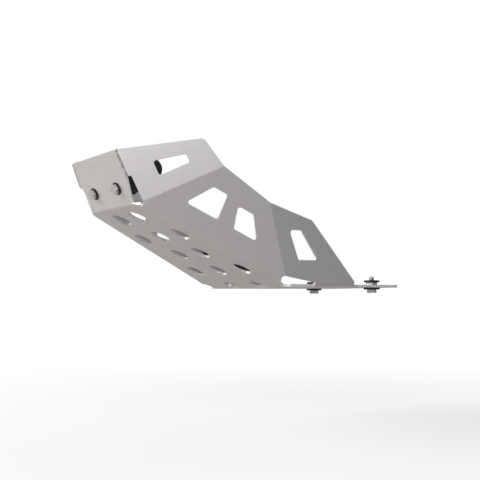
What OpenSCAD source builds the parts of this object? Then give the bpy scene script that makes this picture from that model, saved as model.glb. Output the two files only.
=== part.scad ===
// Motorcycle skid plate: one folded aluminium sheet with the fixings that hold it.
// The front of the motorcycle is -Y, its left side is +X and up is +Z, in millimetres.
// The rear flat is level. The origin is midway between the rear bolts, where they leave their nuts.

/* [Sheet] */
// Thickness of the sheet
sheet_t = 4; // [3:0.5:5]
// Inside radius of the folds
fold_r = 4; // [3:0.5:6]
// Inside radius of the fold at the foot of each wing
foot_r = 4; // [3:0.5:5]

/* [Slope under the engine] */
// Angle of the slope from level
slope_deg = 26; // [22:0.5:32]
// Length of the slope from fold to fold
slope_len = 248; // [236:1:260]
// Width between the side folds at the front of the slope
slope_front_w = 163; // [158:1:170]
// Width between the side folds at the rear of the slope
slope_rear_w = 228; // [220:1:234]
// Diameter of the drain holes
drain_d = 30; // [22:1:34]
// Distance of the first row of drain holes from the rear fold
drain_from = 218; // [214:0.5:220]
// Pitch from one row of drain holes to the next
drain_pitch = 53.1; // [52:0.1:53.5]
// Spacing of the holes across the first row
drain_across = 52.5; // [46:0.5:56]
// Growth of that spacing from row to row
drain_growth = 4.2; // [0:0.1:5]
// Radius of the round relief at each rear corner
relief_r = 14; // [10:0.5:16]

/* [Front panel] */
// Angle of the front panel from level
front_deg = 66.5; // [60:0.5:75]
// Length of the front panel from fold to top edge
front_len = 76.5; // [70:0.5:90]
// Width of the front panel at its top edge
front_top_w = 147; // [142:1:152]
// Height of the corner notch up the front panel
notch_h = 37; // [30:1:45]
// Width cut from each lower corner of the front panel
notch_front = 19.5; // [14:0.5:24]
// Width cut from the lower front corner of each cheek
notch_side = 6.3; // [5:0.1:9]
// Reach of the notch down the side of the slope
notch_drop = 4; // [2:0.5:6]
// Width of the notch at its top, on either side of the corner
notch_top = 5.5; // [4:0.5:7]
// Rise of the top of the notch to the corner
notch_rise = 1.6; // [1:0.1:2.5]
// Radius of the weld bead above the notch
weld_r = 2.4; // [2:0.1:3]

/* [Cheeks] */
// Angle between the side fold and the cheek fold, in the flank
cheek_deg = 53.6; // [50:0.2:56]
// Length of the cheek fold
cheek_fold = 123; // [118:1:126]
// Drop of the top edge of the cheek towards the rear
cheek_drop = 15.9; // [12:0.1:18]
// Length of the top edge of the cheek
cheek_top = 117; // [108:1:120]
// Distance of the cheek window from the front corner
cheek_win_at = 39.5; // [36:0.5:46]
// Length of the cheek window
cheek_win_len = 44; // [36:0.5:48]
// Height of the lower edge of the cheek window above the fold
cheek_win_low = 23; // [16:0.5:24.5]
// Height of the cheek window at its front
cheek_win_front = 21; // [16:0.5:24]
// Height of the cheek window at its rear
cheek_win_rear = 12; // [8:0.5:16]

/* [Flanks] */
// Angle by which the flank is folded up from the slope
flank_deg = 62; // [58:0.5:66]
// Length of the near-upright fold between flank and wing
wing_fold = 124; // [118:1:128]
// Height of the lower edges of the flank windows above the side fold
flank_win_low = 31.5; // [26:0.5:34]
// Height of the front flank window
flank_win_h = 36.5; // [30:0.5:38]
// Start of the lower edge of the front flank window
win_a_at = 53.5; // [50:0.5:56]
// Length of the lower edge of the front flank window
win_a_len = 51; // [46:0.5:54]
// Length of the upper edge of the front flank window
win_a_top = 22.5; // [18:0.5:26]
// Rear flank window: start of its lower edge
win_b_at = 131; // [128:0.5:138]
// Length of the lower edge of the rear flank window
win_b_len = 38.5; // [32:0.5:40]
// Height of the rear flank window
win_b_h = 30.5; // [26:0.5:34]
// Length of the upper edge of the rear flank window
win_b_top = 25.5; // [20:0.5:28]
// Forward lean of the front edge of the rear flank window
win_b_lean = 12; // [6:0.5:16]
// Corner radius of the side windows
win_r = 3.5; // [2:0.5:4.5]

/* [Wings] */
// Lean of the wing from level
wing_deg = 75; // [70:1:82]
// Distance between the feet of the two wings
foot_w = 224; // [218:1:228]
// Height of the upper rear corner of the wing
wing_rear_h = 96; // [84:1:100]
// Distance of that corner behind the rear fold
wing_rear_at = 20; // [14:1:26]
// Length of the wing along the rear flat
wing_len = 114.5; // [106:0.5:120]
// Start of the foot of the wing
foot_at = 42; // [38:1:48]
// Height of the relief gap at the wing fold
relief_h = 15.4; // [14:0.2:18]
// Height of the lower edge of the wing window
wing_win_low = 38.5; // [34:0.5:40]
// Height of the wing window
wing_win_h = 42.5; // [34:0.5:44]
// Distance of the lower edge of the wing window behind the rear fold
wing_win_at = 6.5; // [3:0.5:8]
// Length of the lower edge of the wing window
wing_win_len = 34.5; // [28:0.5:36]
// Forward lean of the front edge of the wing window, in degrees
wing_win_lean = 28.5; // [22:0.5:32]
// Length of the upper edge of the wing window
wing_win_top = 20.5; // [16:0.5:24]
// Radius of the outer corners
corner_r = 8; // [5:1:10]

/* [Rear flat] */
// Length of the rear flat behind the rear fold
rear_len = 230; // [220:1:250]
// Width of the rear flat at the bolts
rear_w = 176; // [172:1:190]
// Length of the taper behind the wings
rear_taper = 26; // [20:1:34]
// Side relief of the rear flat ahead of the foot
side_relief = 2; // [1:0.5:3]
// Radius of the rear corners
tail_r = 14; // [8:1:20]

/* [Fixings] */
// Thread diameter of the bolts
bolt_d = 8; // [7:0.5:8.5]
// Diameter of the bolts inside their nuts and holes, between the thread's crest and its root
grip_d = 7.6; // [6.6:0.1:7.7]
// Clearance of the bolts in their holes, on the diameter
bolt_gap = 1; // [0.6:0.1:1.2]
// Clearance between threads, on the diameter
thread_gap = 0.2; // [0.1:0.05:0.3]
// Width of the hexagons across the flats
hex_af = 13; // [13:0.5:14]
// Height of the bolt heads
head_h = 5.3; // [4.5:0.1:6]
// Length of thread left beyond a nut
thread_end = 2; // [1:0.5:4]
// Diameter of the front washers
front_washer_d = 18; // [16:0.5:20]
// Thickness of the front washers
front_washer_t = 1.8; // [1.4:0.1:2.4]
// Distance between the front bolts
front_bolts = 74; // [64:1:76]
// Height of the front bolts above the front fold, in the panel
front_bolt_h = 26; // [24:0.5:28]
// Diameter of the rubber bushes
bush_d = 20; // [18:0.5:22]
// Length of the rubber bushes
bush_len = 6; // [5:0.5:8]
// Height of the lock nuts
nut_h = 8; // [7:0.5:9]
// Distance between the rear bolts
rear_bolts = 147; // [140:1:150]
// Distance of the rear bolts behind the rear fold
rear_bolt_at = 182.5; // [178:0.5:190]
// Diameter of the rear washers
rear_washer_d = 25; // [22:0.5:27]
// Thickness of the rear washers
rear_washer_t = 3; // [2:0.1:3.5]
// Diameter of the rear spacers
spacer_d = 17; // [15:0.5:19]
// Length of the rear spacers
spacer_len = 4; // [3:0.5:6]
// Diameter of the thin round nuts at the rear
round_nut_d = 24; // [20:0.5:26]
// Thickness of the round nuts
round_nut_t = 3.2; // [2:0.1:4]
// Length of free thread above the round nuts
stud_len = 5.5; // [4:0.5:8]

/* [Front bracket] */
// Thickness of the bracket
bracket_t = 4; // [3:0.5:5]
// Width of the bracket along the panel
bracket_w = 30; // [26:1:32]
// Distance between the outer faces of the lugs
bracket_span = 112; // [108:1:116]
// Length of the lugs
lug_len = 51; // [40:1:54]
// Height of the lugs' holes above the middle of the strip
lug_rise = 8; // [4:0.5:10]
// Diameter of the hole in each lug
lug_hole_d = 10.5; // [8.5:0.5:11]
// Distance of that hole from the end of the lug
lug_hole_end = 14; // [12:1:18]

/* [Hidden] */
$fn = 64;
// Depth by which a fold reaches into its panels, and by which it is thinner than they are
fold_in = 0.3;
fold_thin = 0.015;
// Distance by which a fold stops short of a corner
fold_short = 1;

function unit(v) = v / norm(v);
function turn(p, q) = p.x * q.y - p.y * q.x;
// A panel's frame is [origin, direction along, direction up], and the sheet lies behind it.
function facing(f) = cross(f[1], f[2]);
function place(f, p) = f[0] + f[1] * p.x + f[2] * p.y;
function within(f, p) = [(p - f[0]) * f[1], (p - f[0]) * f[2]];
// Where the line a + s * u meets the line b + s * v
function meet(a, u, b, v) = a + u * turn(b - a, v) / turn(u, v);
// Moves each edge of a polygon inwards by its own distance, on the polygon's left-hand side
function inset(pts, d) = let (n = len(pts)) [for (i = [0:n - 1])
  let (h = (i + n - 1) % n, j = (i + 1) % n, u = unit(pts[i] - pts[h]), v = unit(pts[j] - pts[i]))
    meet(pts[h] + [-u.y, u.x] * d[h], u, pts[i] + [-v.y, v.x] * d[i], v)];
// Rounds each corner of a polygon with its own radius
function rounded(pts, r) = let (n = len(pts)) [for (i = [0:n - 1])
  let (p = pts[i], u = unit(pts[(i + n - 1) % n] - p), v = unit(pts[(i + 1) % n] - p),
    half = acos(u * v) / 2, c = p + unit(u + v) * r[i] / sin(half),
    s = sign(turn(u, v)), a = atan2(u.x * -s, u.y * s), steps = r[i] > 0 ? 6 : 0)
      each steps == 0 ? [p] : [for (k = [0:steps]) let (t = a - s * (180 - 2 * half) * k / steps)
        c + r[i] * [cos(t), sin(t)]]];

outer_r = fold_r + sheet_t;
foot_outer_r = foot_r + sheet_t;
up_slope = [0, -cos(slope_deg), sin(slope_deg)];
up_front = [0, -cos(front_deg), sin(front_deg)];
nut_base = sheet_t + spacer_len;
underside = -nut_base - round_nut_t;
rear_fold = [0, -rear_bolt_at, underside];
front_fold = rear_fold + up_slope * slope_len;
front_corner = front_fold + [slope_front_w / 2, 0, 0];
rear_corner = rear_fold + [slope_rear_w / 2, 0, 0];
seam_top = front_fold + [front_top_w / 2, 0, 0] + up_front * front_len;
side_line = unit(rear_corner - front_corner);

// The frames of the panels
slope = [rear_fold, [1, 0, 0], up_slope];
front = [front_fold, [1, 0, 0], up_front];
rear = [rear_fold, [1, 0, 0], [0, -1, 0]];
flank = [front_corner, side_line,
  cross(facing(slope), side_line) * cos(flank_deg) - facing(slope) * sin(flank_deg)];
cheek_line = flank[1] * cos(cheek_deg) + flank[2] * sin(cheek_deg);
seam = seam_top - front_corner;
cheek = [front_corner, cheek_line, unit(seam - cheek_line * (cheek_line * seam))];
wing = [rear_fold + [foot_w / 2, 0, 0], [0, 1, 0], [cos(wing_deg), 0, sin(wing_deg)]];
// The fold between flank and wing, which starts a little ahead of the slope's rear corner
wing_from = [facing(wing) * (wing[0] - front_corner) / (facing(wing) * side_line), 0];
wing_dir = unit([-facing(wing) * flank[2], facing(wing) * side_line]) * sign(facing(wing) * side_line);
wing_end = wing_from + wing_dir * wing_fold;

// Half the angle between two panels, and the width that their fold takes from each
function half_fold(a, b) = acos(facing(a) * facing(b)) / 2;
function take(a, b, r) = r * tan(half_fold(a, b));
front_take = take(slope, front, outer_r);
rear_take = take(slope, rear, outer_r);
side_take = take(slope, flank, outer_r);
cheek_take = take(cheek, flank, outer_r);
wing_take = take(wing, flank, outer_r);
foot_take = take(wing, rear, foot_outer_r);

seam_tilt = (slope_front_w - front_top_w) / 2 / front_len;
half_front = slope_front_w / 2;
half_rear = slope_rear_w / 2;
// Outlines of the panels in their own frames, already shortened for the folds
slope_side = inset([[-half_rear, 0], [half_rear, 0], [half_front, slope_len], [-half_front, slope_len]],
  [rear_take, side_take, front_take, side_take]);
slope_edge = unit(slope_side[2] - slope_side[1]);
// A round relief at each rear corner, from the rear fold to the side fold
relief = [for (i = [0:8]) let (a = 180 - atan2(slope_edge.y, -slope_edge.x) * i / 8)
  slope_side[1] + relief_r * [cos(a), sin(a)]];
slope_outline = concat(relief, [slope_side[2], slope_side[3]], [for (i = [8:-1:0]) [-relief[i].x, relief[i].y]]);
front_half = [
  [half_front - notch_front, front_take],
  [half_front - seam_tilt * notch_h - notch_top, notch_h],
  [half_front - seam_tilt * (notch_h + notch_rise), notch_h + notch_rise],
  [front_top_w / 2, front_len]];
front_side = concat(front_half, [for (i = [3:-1:0]) [-front_half[i].x, front_half[i].y]]);
flank_side = inset([[0, 0], [wing_from.x - relief_h, 0], wing_from + wing_dir * (relief_h - 2), wing_end,
  [cos(cheek_deg), sin(cheek_deg)] * cheek_fold], [side_take, 0, wing_take, 0, cheek_take]);
seam_end = within(cheek, seam_top);
seam_up = seam_end / front_len;
cheek_rear = seam_end + [cos(cheek_drop), -sin(cheek_drop)] * cheek_top;
cheek_side = inset([[notch_side, 0], [cheek_fold, 0], cheek_rear, seam_end,
  seam_up * (notch_h + notch_rise), seam_up * notch_h + [notch_top, 0]], [cheek_take, 0, 0, 0, 0, 0]);
wing_low = within(wing, place(flank, wing_from));
wing_top = within(wing, place(flank, wing_end));
wing_start = wing_low + (wing_top - wing_low) * (relief_h - wing_low.y) / (wing_top.y - wing_low.y);
wing_outline = inset([wing_start, [foot_at, foot_take], [wing_len, foot_take],
  [wing_len, foot_take + 2], [wing_rear_at, wing_rear_h], wing_top], [0, 0, 0, 0, 0, wing_take]);
rear_fold_w = 2 * (relief[0].x - fold_short);
half_foot = foot_w / 2;
rear_half = [[half_foot - side_relief - 1, -rear_take], [half_foot - side_relief, -rear_take - 4],
  [half_foot - side_relief, -foot_at], [half_foot - foot_take, -foot_at],
  [half_foot - foot_take, -wing_len], [rear_w / 2, -wing_len - rear_taper], [rear_w / 2, -rear_len]];
rear_radii = [0, 0, 0, 0, corner_r / 2, corner_r, tail_r];

// Puts a drawing on a panel's outer face, with its height outwards
module on(f) {
  w = facing(f);
  multmatrix([for (i = [0:2]) [f[1][i], f[2][i], w[i], f[0][i]]]) children();
}

// A flat panel behind the outer face of its frame
module panel(f, pts) {
  on(f) translate([0, 0, -sheet_t]) linear_extrude(sheet_t) polygon(pts);
}

// A cut right through a panel
module through(f, pts) {
  on(f) translate([0, 0, -2 * sheet_t]) linear_extrude(3 * sheet_t) polygon(pts);
}

// The round fold between two panels. Its ends run from ends[0] on panel a to ends[1] on panel b.
module fold(a, b, from, to, ends, r) {
  v = unit(facing(a) + facing(b));
  w = unit(to - from);
  u = cross(v, w);
  half = half_fold(a, b);
  spread = half + asin(fold_in / r);
  big = r + sheet_t - fold_thin;
  side = sign(facing(a) * u) * (r + sheet_t) * sin(half);
  centre = from - v * (r + sheet_t) / cos(half);
  pos = [for (e = ends) [for (p = e) (p - from) * w]];
  reach = 3;
  far = function (e, s) (pos[e][0] + pos[e][1]) / 2 + s * (pos[e][0] - pos[e][1]) / 2;
  low = min(pos[0][0], pos[0][1]) - 4;
  multmatrix([for (i = [0:2]) [u[i], v[i], w[i], centre[i]]]) intersection() {
    translate([0, 0, low - r * 2]) linear_extrude(norm(to - from) + 8 * r) intersection() {
      difference() {
        circle(r = big);
        circle(r = r + fold_thin);
      }
      polygon([[0, 0], 2 * big * [-sin(spread), cos(spread)], [0, 3 * big],
        2 * big * [sin(spread), cos(spread)]]);
    }
    rotate([90, 0, 0]) linear_extrude(8 * big, center = true) polygon([
      [side * reach, far(0, reach)], [-side * reach, far(0, -reach)],
      [-side * reach, far(1, -reach)], [side * reach, far(1, reach)]]);
  }
}

// Cheek, flank and wing of one side with their folds
module side_panels() {
  panel(cheek, rounded(cheek_side, [0, 0, corner_r, 0, 0, 0]));
  panel(flank, flank_side);
  panel(wing, rounded(wing_outline, [2, 2, 0, 1.2, corner_r, 0]));
  fold(cheek, flank, front_corner, front_corner + cheek_line * cheek_fold,
    [[place(cheek, cheek_side[0] + [fold_short, 0]),
      place(flank, flank_side[0] + fold_short * [cos(cheek_deg), sin(cheek_deg)])],
     [place(cheek, cheek_side[1]), place(flank, flank_side[4])]], fold_r);
  fold(slope, flank, front_corner, rear_corner,
    [[place(slope, slope_side[2] - slope_edge * notch_drop), place(flank, flank_side[0] + [fold_short, 0])],
     [place(slope, relief[8] + slope_edge * fold_short), place(flank, flank_side[1])]], fold_r);
  fold(wing, flank, place(flank, wing_from), place(flank, wing_end),
    [[place(wing, wing_outline[0]), place(flank, flank_side[2])],
     [place(wing, wing_outline[5]), place(flank, flank_side[3])]], fold_r);
  foot_ends = [for (y = [foot_at + fold_short, wing_len - fold_short]) wing[0] + [0, y, 0]];
  fold(wing, rear, wing[0], foot_ends[1], [for (p = foot_ends) [p, p]], foot_r);
}

module side_cuts() {
  radii = [win_r, win_r, win_r, win_r];
  through(cheek, rounded([[cheek_win_at, cheek_win_low], [cheek_win_at + cheek_win_len, cheek_win_low],
    [cheek_win_at + cheek_win_len, cheek_win_low + cheek_win_rear],
    [cheek_win_at, cheek_win_low + cheek_win_front]], radii));
  flank_top = flank_win_low + flank_win_h;
  win_b_high = flank_win_low + win_b_h;
  lean = flank_win_h / tan(cheek_deg + 5);
  through(flank, rounded([[win_a_at, flank_win_low], [win_a_at + win_a_len, flank_win_low],
    [win_a_at + lean + win_a_top, flank_top], [win_a_at + lean, flank_top]], radii));
  through(flank, rounded([[win_b_at, flank_win_low], [win_b_at + win_b_len, flank_win_low],
    [win_b_at - win_b_lean + win_b_top, win_b_high], [win_b_at - win_b_lean, win_b_high]], radii));
  sweep = wing_win_h * tan(wing_win_lean);
  through(wing, rounded([[wing_win_at, wing_win_low], [wing_win_at + wing_win_len, wing_win_low],
    [wing_win_at - sweep + wing_win_top, wing_win_low + wing_win_h],
    [wing_win_at - sweep, wing_win_low + wing_win_h]], radii));
}

module drain(x, at) {
  on(slope) translate([x, at, 0]) cylinder(d = drain_d, h = 4 * sheet_t, center = true);
}

module skid_plate() color("silver") difference() {
  union() {
    panel(slope, slope_outline);
    panel(front, front_side);
    panel(rear, concat(rounded(concat(rear_half, [for (i = [6:-1:0]) [-rear_half[i].x, rear_half[i].y]]),
      concat(rear_radii, [for (i = [6:-1:0]) rear_radii[i]]))));
    fold(front, slope, front_fold - [half_front, 0, 0], front_fold + [half_front, 0, 0],
      [for (s = [-1, 1]) let (in = [s * fold_short, 0])
        [place(front, front_side[s < 0 ? 7 : 0] - in), place(slope, slope_side[s < 0 ? 3 : 2] - in)]], fold_r);
    fold(rear, slope, rear_fold - [half_rear, 0, 0], rear_fold + [half_rear, 0, 0],
      [for (s = [-1, 1]) [for (f = [rear, slope]) place(f, [s * rear_fold_w / 2, 0])]], fold_r);
    side_panels();
    mirror([1, 0, 0]) side_panels();
  }
  side_cuts();
  mirror([1, 0, 0]) side_cuts();
  for (row = [0:3], x = row % 2 == 0 ? [-0.5, 0.5] : [-1, 0, 1])
    drain(x * (drain_across + drain_growth * row), drain_from - drain_pitch * row);
  for (x = [-0.5, 0.5]) translate(rear_fold) rotate([slope_deg / 2, 0, 0])
    translate([x * (drain_across + drain_growth * 5), 0, sheet_t])
      cylinder(d = drain_d, h = 6 * sheet_t, center = true);
  for (s = [-1, 1]) {
    at_front(s) cylinder(d = bolt_d + bolt_gap, h = 4 * sheet_t, center = true);
    at_rear(s) cylinder(d = bolt_d + bolt_gap, h = 4 * sheet_t, center = true);
  }
}

// The rippled weld on the corner between front panel and cheek
module weld() {
  run = norm(seam) - notch_h - notch_rise - 2 * weld_r;
  line = unit(seam);
  out = unit(facing(front) + facing(cheek));
  side = cross(out, line);
  foot = seam_top - line * (run + weld_r) - out * weld_r * 0.35;
  difference() {
    multmatrix([for (i = [0:2]) [side[i], out[i], line[i], foot[i]]]) {
      cylinder(r = weld_r * 0.86, h = run);
      for (i = [0:2:run / weld_r * 2]) translate([0, 0, i * weld_r / 2]) sphere(r = weld_r);
    }
    for (p = [[front, front_side], [cheek, cheek_side]])
      on(p[0]) translate([0, 0, -3 * sheet_t]) linear_extrude(3 * sheet_t) polygon(p[1]);
  }
}

module weld_left() color("gray") weld();
module weld_right() color("gray") mirror([1, 0, 0]) weld();

module ring(outer, bore, h) {
  difference() {
    cylinder(d = outer, h = h);
    translate([0, 0, -h / 2]) cylinder(d = bore, h = 2 * h);
  }
}

module hexagon(af, h) {
  cylinder(d = af / cos(30), h = h, $fn = 6);
}

// A hexagon bolt whose head rests on z = 0. It runs down through its nut and ends in a free thread.
module bolt(grip, free) {
  intersection() {
    hexagon(hex_af, head_h);
    cylinder(d1 = hex_af + 4 * head_h, d2 = hex_af * 0.95, h = head_h);
  }
  translate([0, 0, -grip]) cylinder(d = grip_d, h = grip);
  translate([0, 0, -grip - free]) cylinder(d = bolt_d, h = free);
}

module lock_nut() {
  difference() {
    union() {
      hexagon(hex_af, nut_h * 0.75);
      cylinder(d = hex_af * 0.94, h = nut_h);
    }
    translate([0, 0, -1]) cylinder(d = grip_d + thread_gap, h = nut_h + 2);
  }
}

module at_front(s) {
  on(front) translate([s * front_bolts / 2, front_bolt_h, 0]) children();
}

module at_rear(s) {
  translate([s * rear_bolts / 2, 0, underside]) children();
}

bush_back = sheet_t + bush_len;
bracket_back = bush_back + bracket_t;

module front_bolt(s) {
  at_front(s) translate([0, 0, front_washer_t]) bolt(front_washer_t + bracket_back + nut_h, thread_end);
}

module front_washer(s) {
  at_front(s) ring(front_washer_d, bolt_d + bolt_gap, front_washer_t);
}

module front_bush(s) {
  at_front(s) translate([0, 0, -bush_back]) ring(bush_d, bolt_d + bolt_gap, bush_len);
}

module front_nut(s) {
  at_front(s) translate([0, 0, -bracket_back]) mirror([0, 0, 1]) lock_nut();
}

module front_bolt_left() color("silver") front_bolt(1);
module front_bolt_right() color("silver") front_bolt(-1);
module front_washer_left() color("silver") front_washer(1);
module front_washer_right() color("silver") front_washer(-1);
module front_bush_left() color("black") front_bush(1);
module front_bush_right() color("black") front_bush(-1);
module front_nut_left() color("silver") front_nut(1);
module front_nut_right() color("silver") front_nut(-1);

// A lug with a round end, whose hole is on the X axis. It rises a little from the strip.
module lug() {
  length = lug_len + bracket_t - lug_hole_end;
  lean = atan2(lug_rise, length);
  end = [-sin(lean), cos(lean)] * bracket_w / 2;
  foot = [-length, -lug_rise];
  rotate([0, 90, 0]) difference() {
    union() {
      translate([0, 0, -bracket_t / 2]) linear_extrude(bracket_t)
        polygon([foot - [0, bracket_w / 2], -end, end, foot + [0, bracket_w / 2]]);
      cylinder(d = bracket_w, h = bracket_t, center = true);
    }
    cylinder(d = lug_hole_d, h = 2 * bracket_t, center = true);
  }
}

// A cross strip behind the front panel whose two lugs point back to the frame
module front_bracket() color("black") on(front) translate([0, front_bolt_h, -bracket_back]) {
  difference() {
    translate([-bracket_span / 2, -bracket_w / 2, 0]) cube([bracket_span, bracket_w, bracket_t]);
    for (s = [-1, 1]) translate([s * front_bolts / 2, 0, 0])
      cylinder(d = bolt_d + bolt_gap, h = 4 * bracket_t, center = true);
  }
  for (s = [-1, 1])
    translate([s * (bracket_span - bracket_t) / 2, lug_rise, lug_hole_end - lug_len]) lug();
}

module rear_bolt(s) {
  at_rear(s) translate([0, 0, -rear_washer_t]) mirror([0, 0, 1])
    bolt(rear_washer_t + nut_base + round_nut_t, stud_len);
}

module rear_washer(s) {
  at_rear(s) translate([0, 0, -rear_washer_t]) ring(rear_washer_d, bolt_d + bolt_gap, rear_washer_t);
}

module rear_spacer(s) {
  at_rear(s) translate([0, 0, sheet_t]) ring(spacer_d, bolt_d + bolt_gap, spacer_len);
}

module rear_nut(s) {
  at_rear(s) translate([0, 0, nut_base]) difference() {
    union() {
      cylinder(d = round_nut_d, h = round_nut_t * 0.7);
      cylinder(d = round_nut_d - 2, h = round_nut_t);
    }
    translate([0, 0, -1]) cylinder(d = grip_d + thread_gap, h = round_nut_t + 2);
  }
}

module rear_bolt_left() color("silver") rear_bolt(1);
module rear_bolt_right() color("silver") rear_bolt(-1);
module rear_washer_left() color("black") rear_washer(1);
module rear_washer_right() color("black") rear_washer(-1);
module rear_spacer_left() color("silver") rear_spacer(1);
module rear_spacer_right() color("silver") rear_spacer(-1);
module rear_nut_left() color("black") rear_nut(1);
module rear_nut_right() color("black") rear_nut(-1);

skid_plate();
weld_left();
weld_right();
front_bolt_left();
front_bolt_right();
front_washer_left();
front_washer_right();
front_bush_left();
front_bush_right();
front_nut_left();
front_nut_right();
front_bracket();
rear_bolt_left();
rear_bolt_right();
rear_washer_left();
rear_washer_right();
rear_spacer_left();
rear_spacer_right();
rear_nut_left();
rear_nut_right();
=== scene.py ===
"""Looks of a motorcycle skid plate: one folded aluminium sheet, its two welds and its fixings.

Lengths in the classes are in millimetres, as in the part's own source. Meshes are written in
metres, in the frame of the part: the front is -Y, the left side is +X and up is +Z.
"""

import logging
import math
from dataclasses import dataclass, field
from enum import Enum
from typing import Any, Callable, Iterable, Optional, Sequence, Union

import bmesh
import bpy
from mathutils import Matrix, Vector
from mathutils.geometry import tessellate_polygon


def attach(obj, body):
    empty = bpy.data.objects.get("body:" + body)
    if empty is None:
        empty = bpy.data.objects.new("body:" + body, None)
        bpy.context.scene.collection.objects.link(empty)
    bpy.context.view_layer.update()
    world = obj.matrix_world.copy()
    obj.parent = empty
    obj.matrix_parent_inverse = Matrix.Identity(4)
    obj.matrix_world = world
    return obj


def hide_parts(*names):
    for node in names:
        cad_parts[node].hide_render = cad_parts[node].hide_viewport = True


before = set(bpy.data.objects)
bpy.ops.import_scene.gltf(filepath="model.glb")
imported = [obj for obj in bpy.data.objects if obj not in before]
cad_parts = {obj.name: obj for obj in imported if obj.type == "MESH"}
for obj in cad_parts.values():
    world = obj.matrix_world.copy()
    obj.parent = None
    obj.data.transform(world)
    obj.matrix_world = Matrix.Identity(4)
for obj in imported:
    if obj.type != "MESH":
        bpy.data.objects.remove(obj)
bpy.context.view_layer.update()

MM = 0.001
IMAGE_SIDE = 480
LOG = logging.getLogger("skid_plate")

# Sockets of the Mix node when it mixes colours
MIX_MASK, MIX_FIRST, MIX_SECOND, MIX_COLOUR = 0, 6, 7, 2

# In millimetres: what counts as the same place, and the step aside of a corner that would
# otherwise lie on one line with its neighbours
CLOSE = 1e-6
STEP_ASIDE = 0.05

Point = tuple[float, float]
Outline = list[Point]
Edge = frozenset[Point]


# Shader maths and nodes


class Num:
    """A number in a material's node tree, which takes Python's operators."""

    def __init__(self, book: "Nodes", socket: bpy.types.NodeSocket) -> None:
        """Wraps one output socket of the tree that the book writes."""
        self.book = book
        self.socket = socket

    def _maths(self, operation: str, first: "Term", second: "Term", clamp: bool = False) -> "Num":
        """Adds one Math node.

        Args:
            operation: The Math node's operation.
            first: The upper input, a number or a socket.
            second: The lower input, a number or a socket.
            clamp: Whether the result is held between 0 and 1.

        Returns:
            The node's result.
        """
        node = self.book.add("ShaderNodeMath", {"operation": operation, "use_clamp": clamp},
                             {0: first, 1: second})
        return Num(self.book, node.outputs[0])

    def __add__(self, other: "Term") -> "Num":
        """Returns self + other."""
        return self._maths("ADD", self, other)

    def __radd__(self, other: "Term") -> "Num":
        """Returns other + self."""
        return self._maths("ADD", other, self)

    def __sub__(self, other: "Term") -> "Num":
        """Returns self - other."""
        return self._maths("SUBTRACT", self, other)

    def __rsub__(self, other: "Term") -> "Num":
        """Returns other - self."""
        return self._maths("SUBTRACT", other, self)

    def __mul__(self, other: "Term") -> "Num":
        """Returns self * other."""
        return self._maths("MULTIPLY", self, other)

    def __rmul__(self, other: "Term") -> "Num":
        """Returns other * self."""
        return self._maths("MULTIPLY", other, self)

    def __pow__(self, other: "Term") -> "Num":
        """Returns self to the power of other."""
        return self._maths("POWER", self, other)

    def above(self, edge: float, width: float) -> "Num":
        """Returns a soft mask: 0 below the edge and 1 above it, over a width."""
        return self._maths("MULTIPLY", self - edge, 1.0 / width, clamp=True)


Term = Union[Num, float]


class Nodes:
    """A node tree in the making: each node other than a Math node comes from its add method."""

    def __init__(self, tree: bpy.types.NodeTree) -> None:
        """Starts from a tree without nodes."""
        self.tree = tree
        self.tree.nodes.clear()

    def add(self, kind: str, settings: Optional[dict[str, Any]] = None,
            inputs: Optional[dict[Union[str, int], Any]] = None) -> bpy.types.Node:
        """Adds a node, sets its options first and then its sockets.

        Args:
            kind: The node's type.
            settings: Options of the node, such as a Math node's operation.
            inputs: Values or links by socket name or number.

        Returns:
            The node.
        """
        node = self.tree.nodes.new(kind)
        for key, value in (settings or {}).items():
            setattr(node, key, value)
        for key, value in (inputs or {}).items():
            if isinstance(value, Num):
                value = value.socket
            if isinstance(value, bpy.types.NodeSocket):
                self.tree.links.new(value, node.inputs[key])
            else:
                node.inputs[key].default_value = value
        return node


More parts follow.
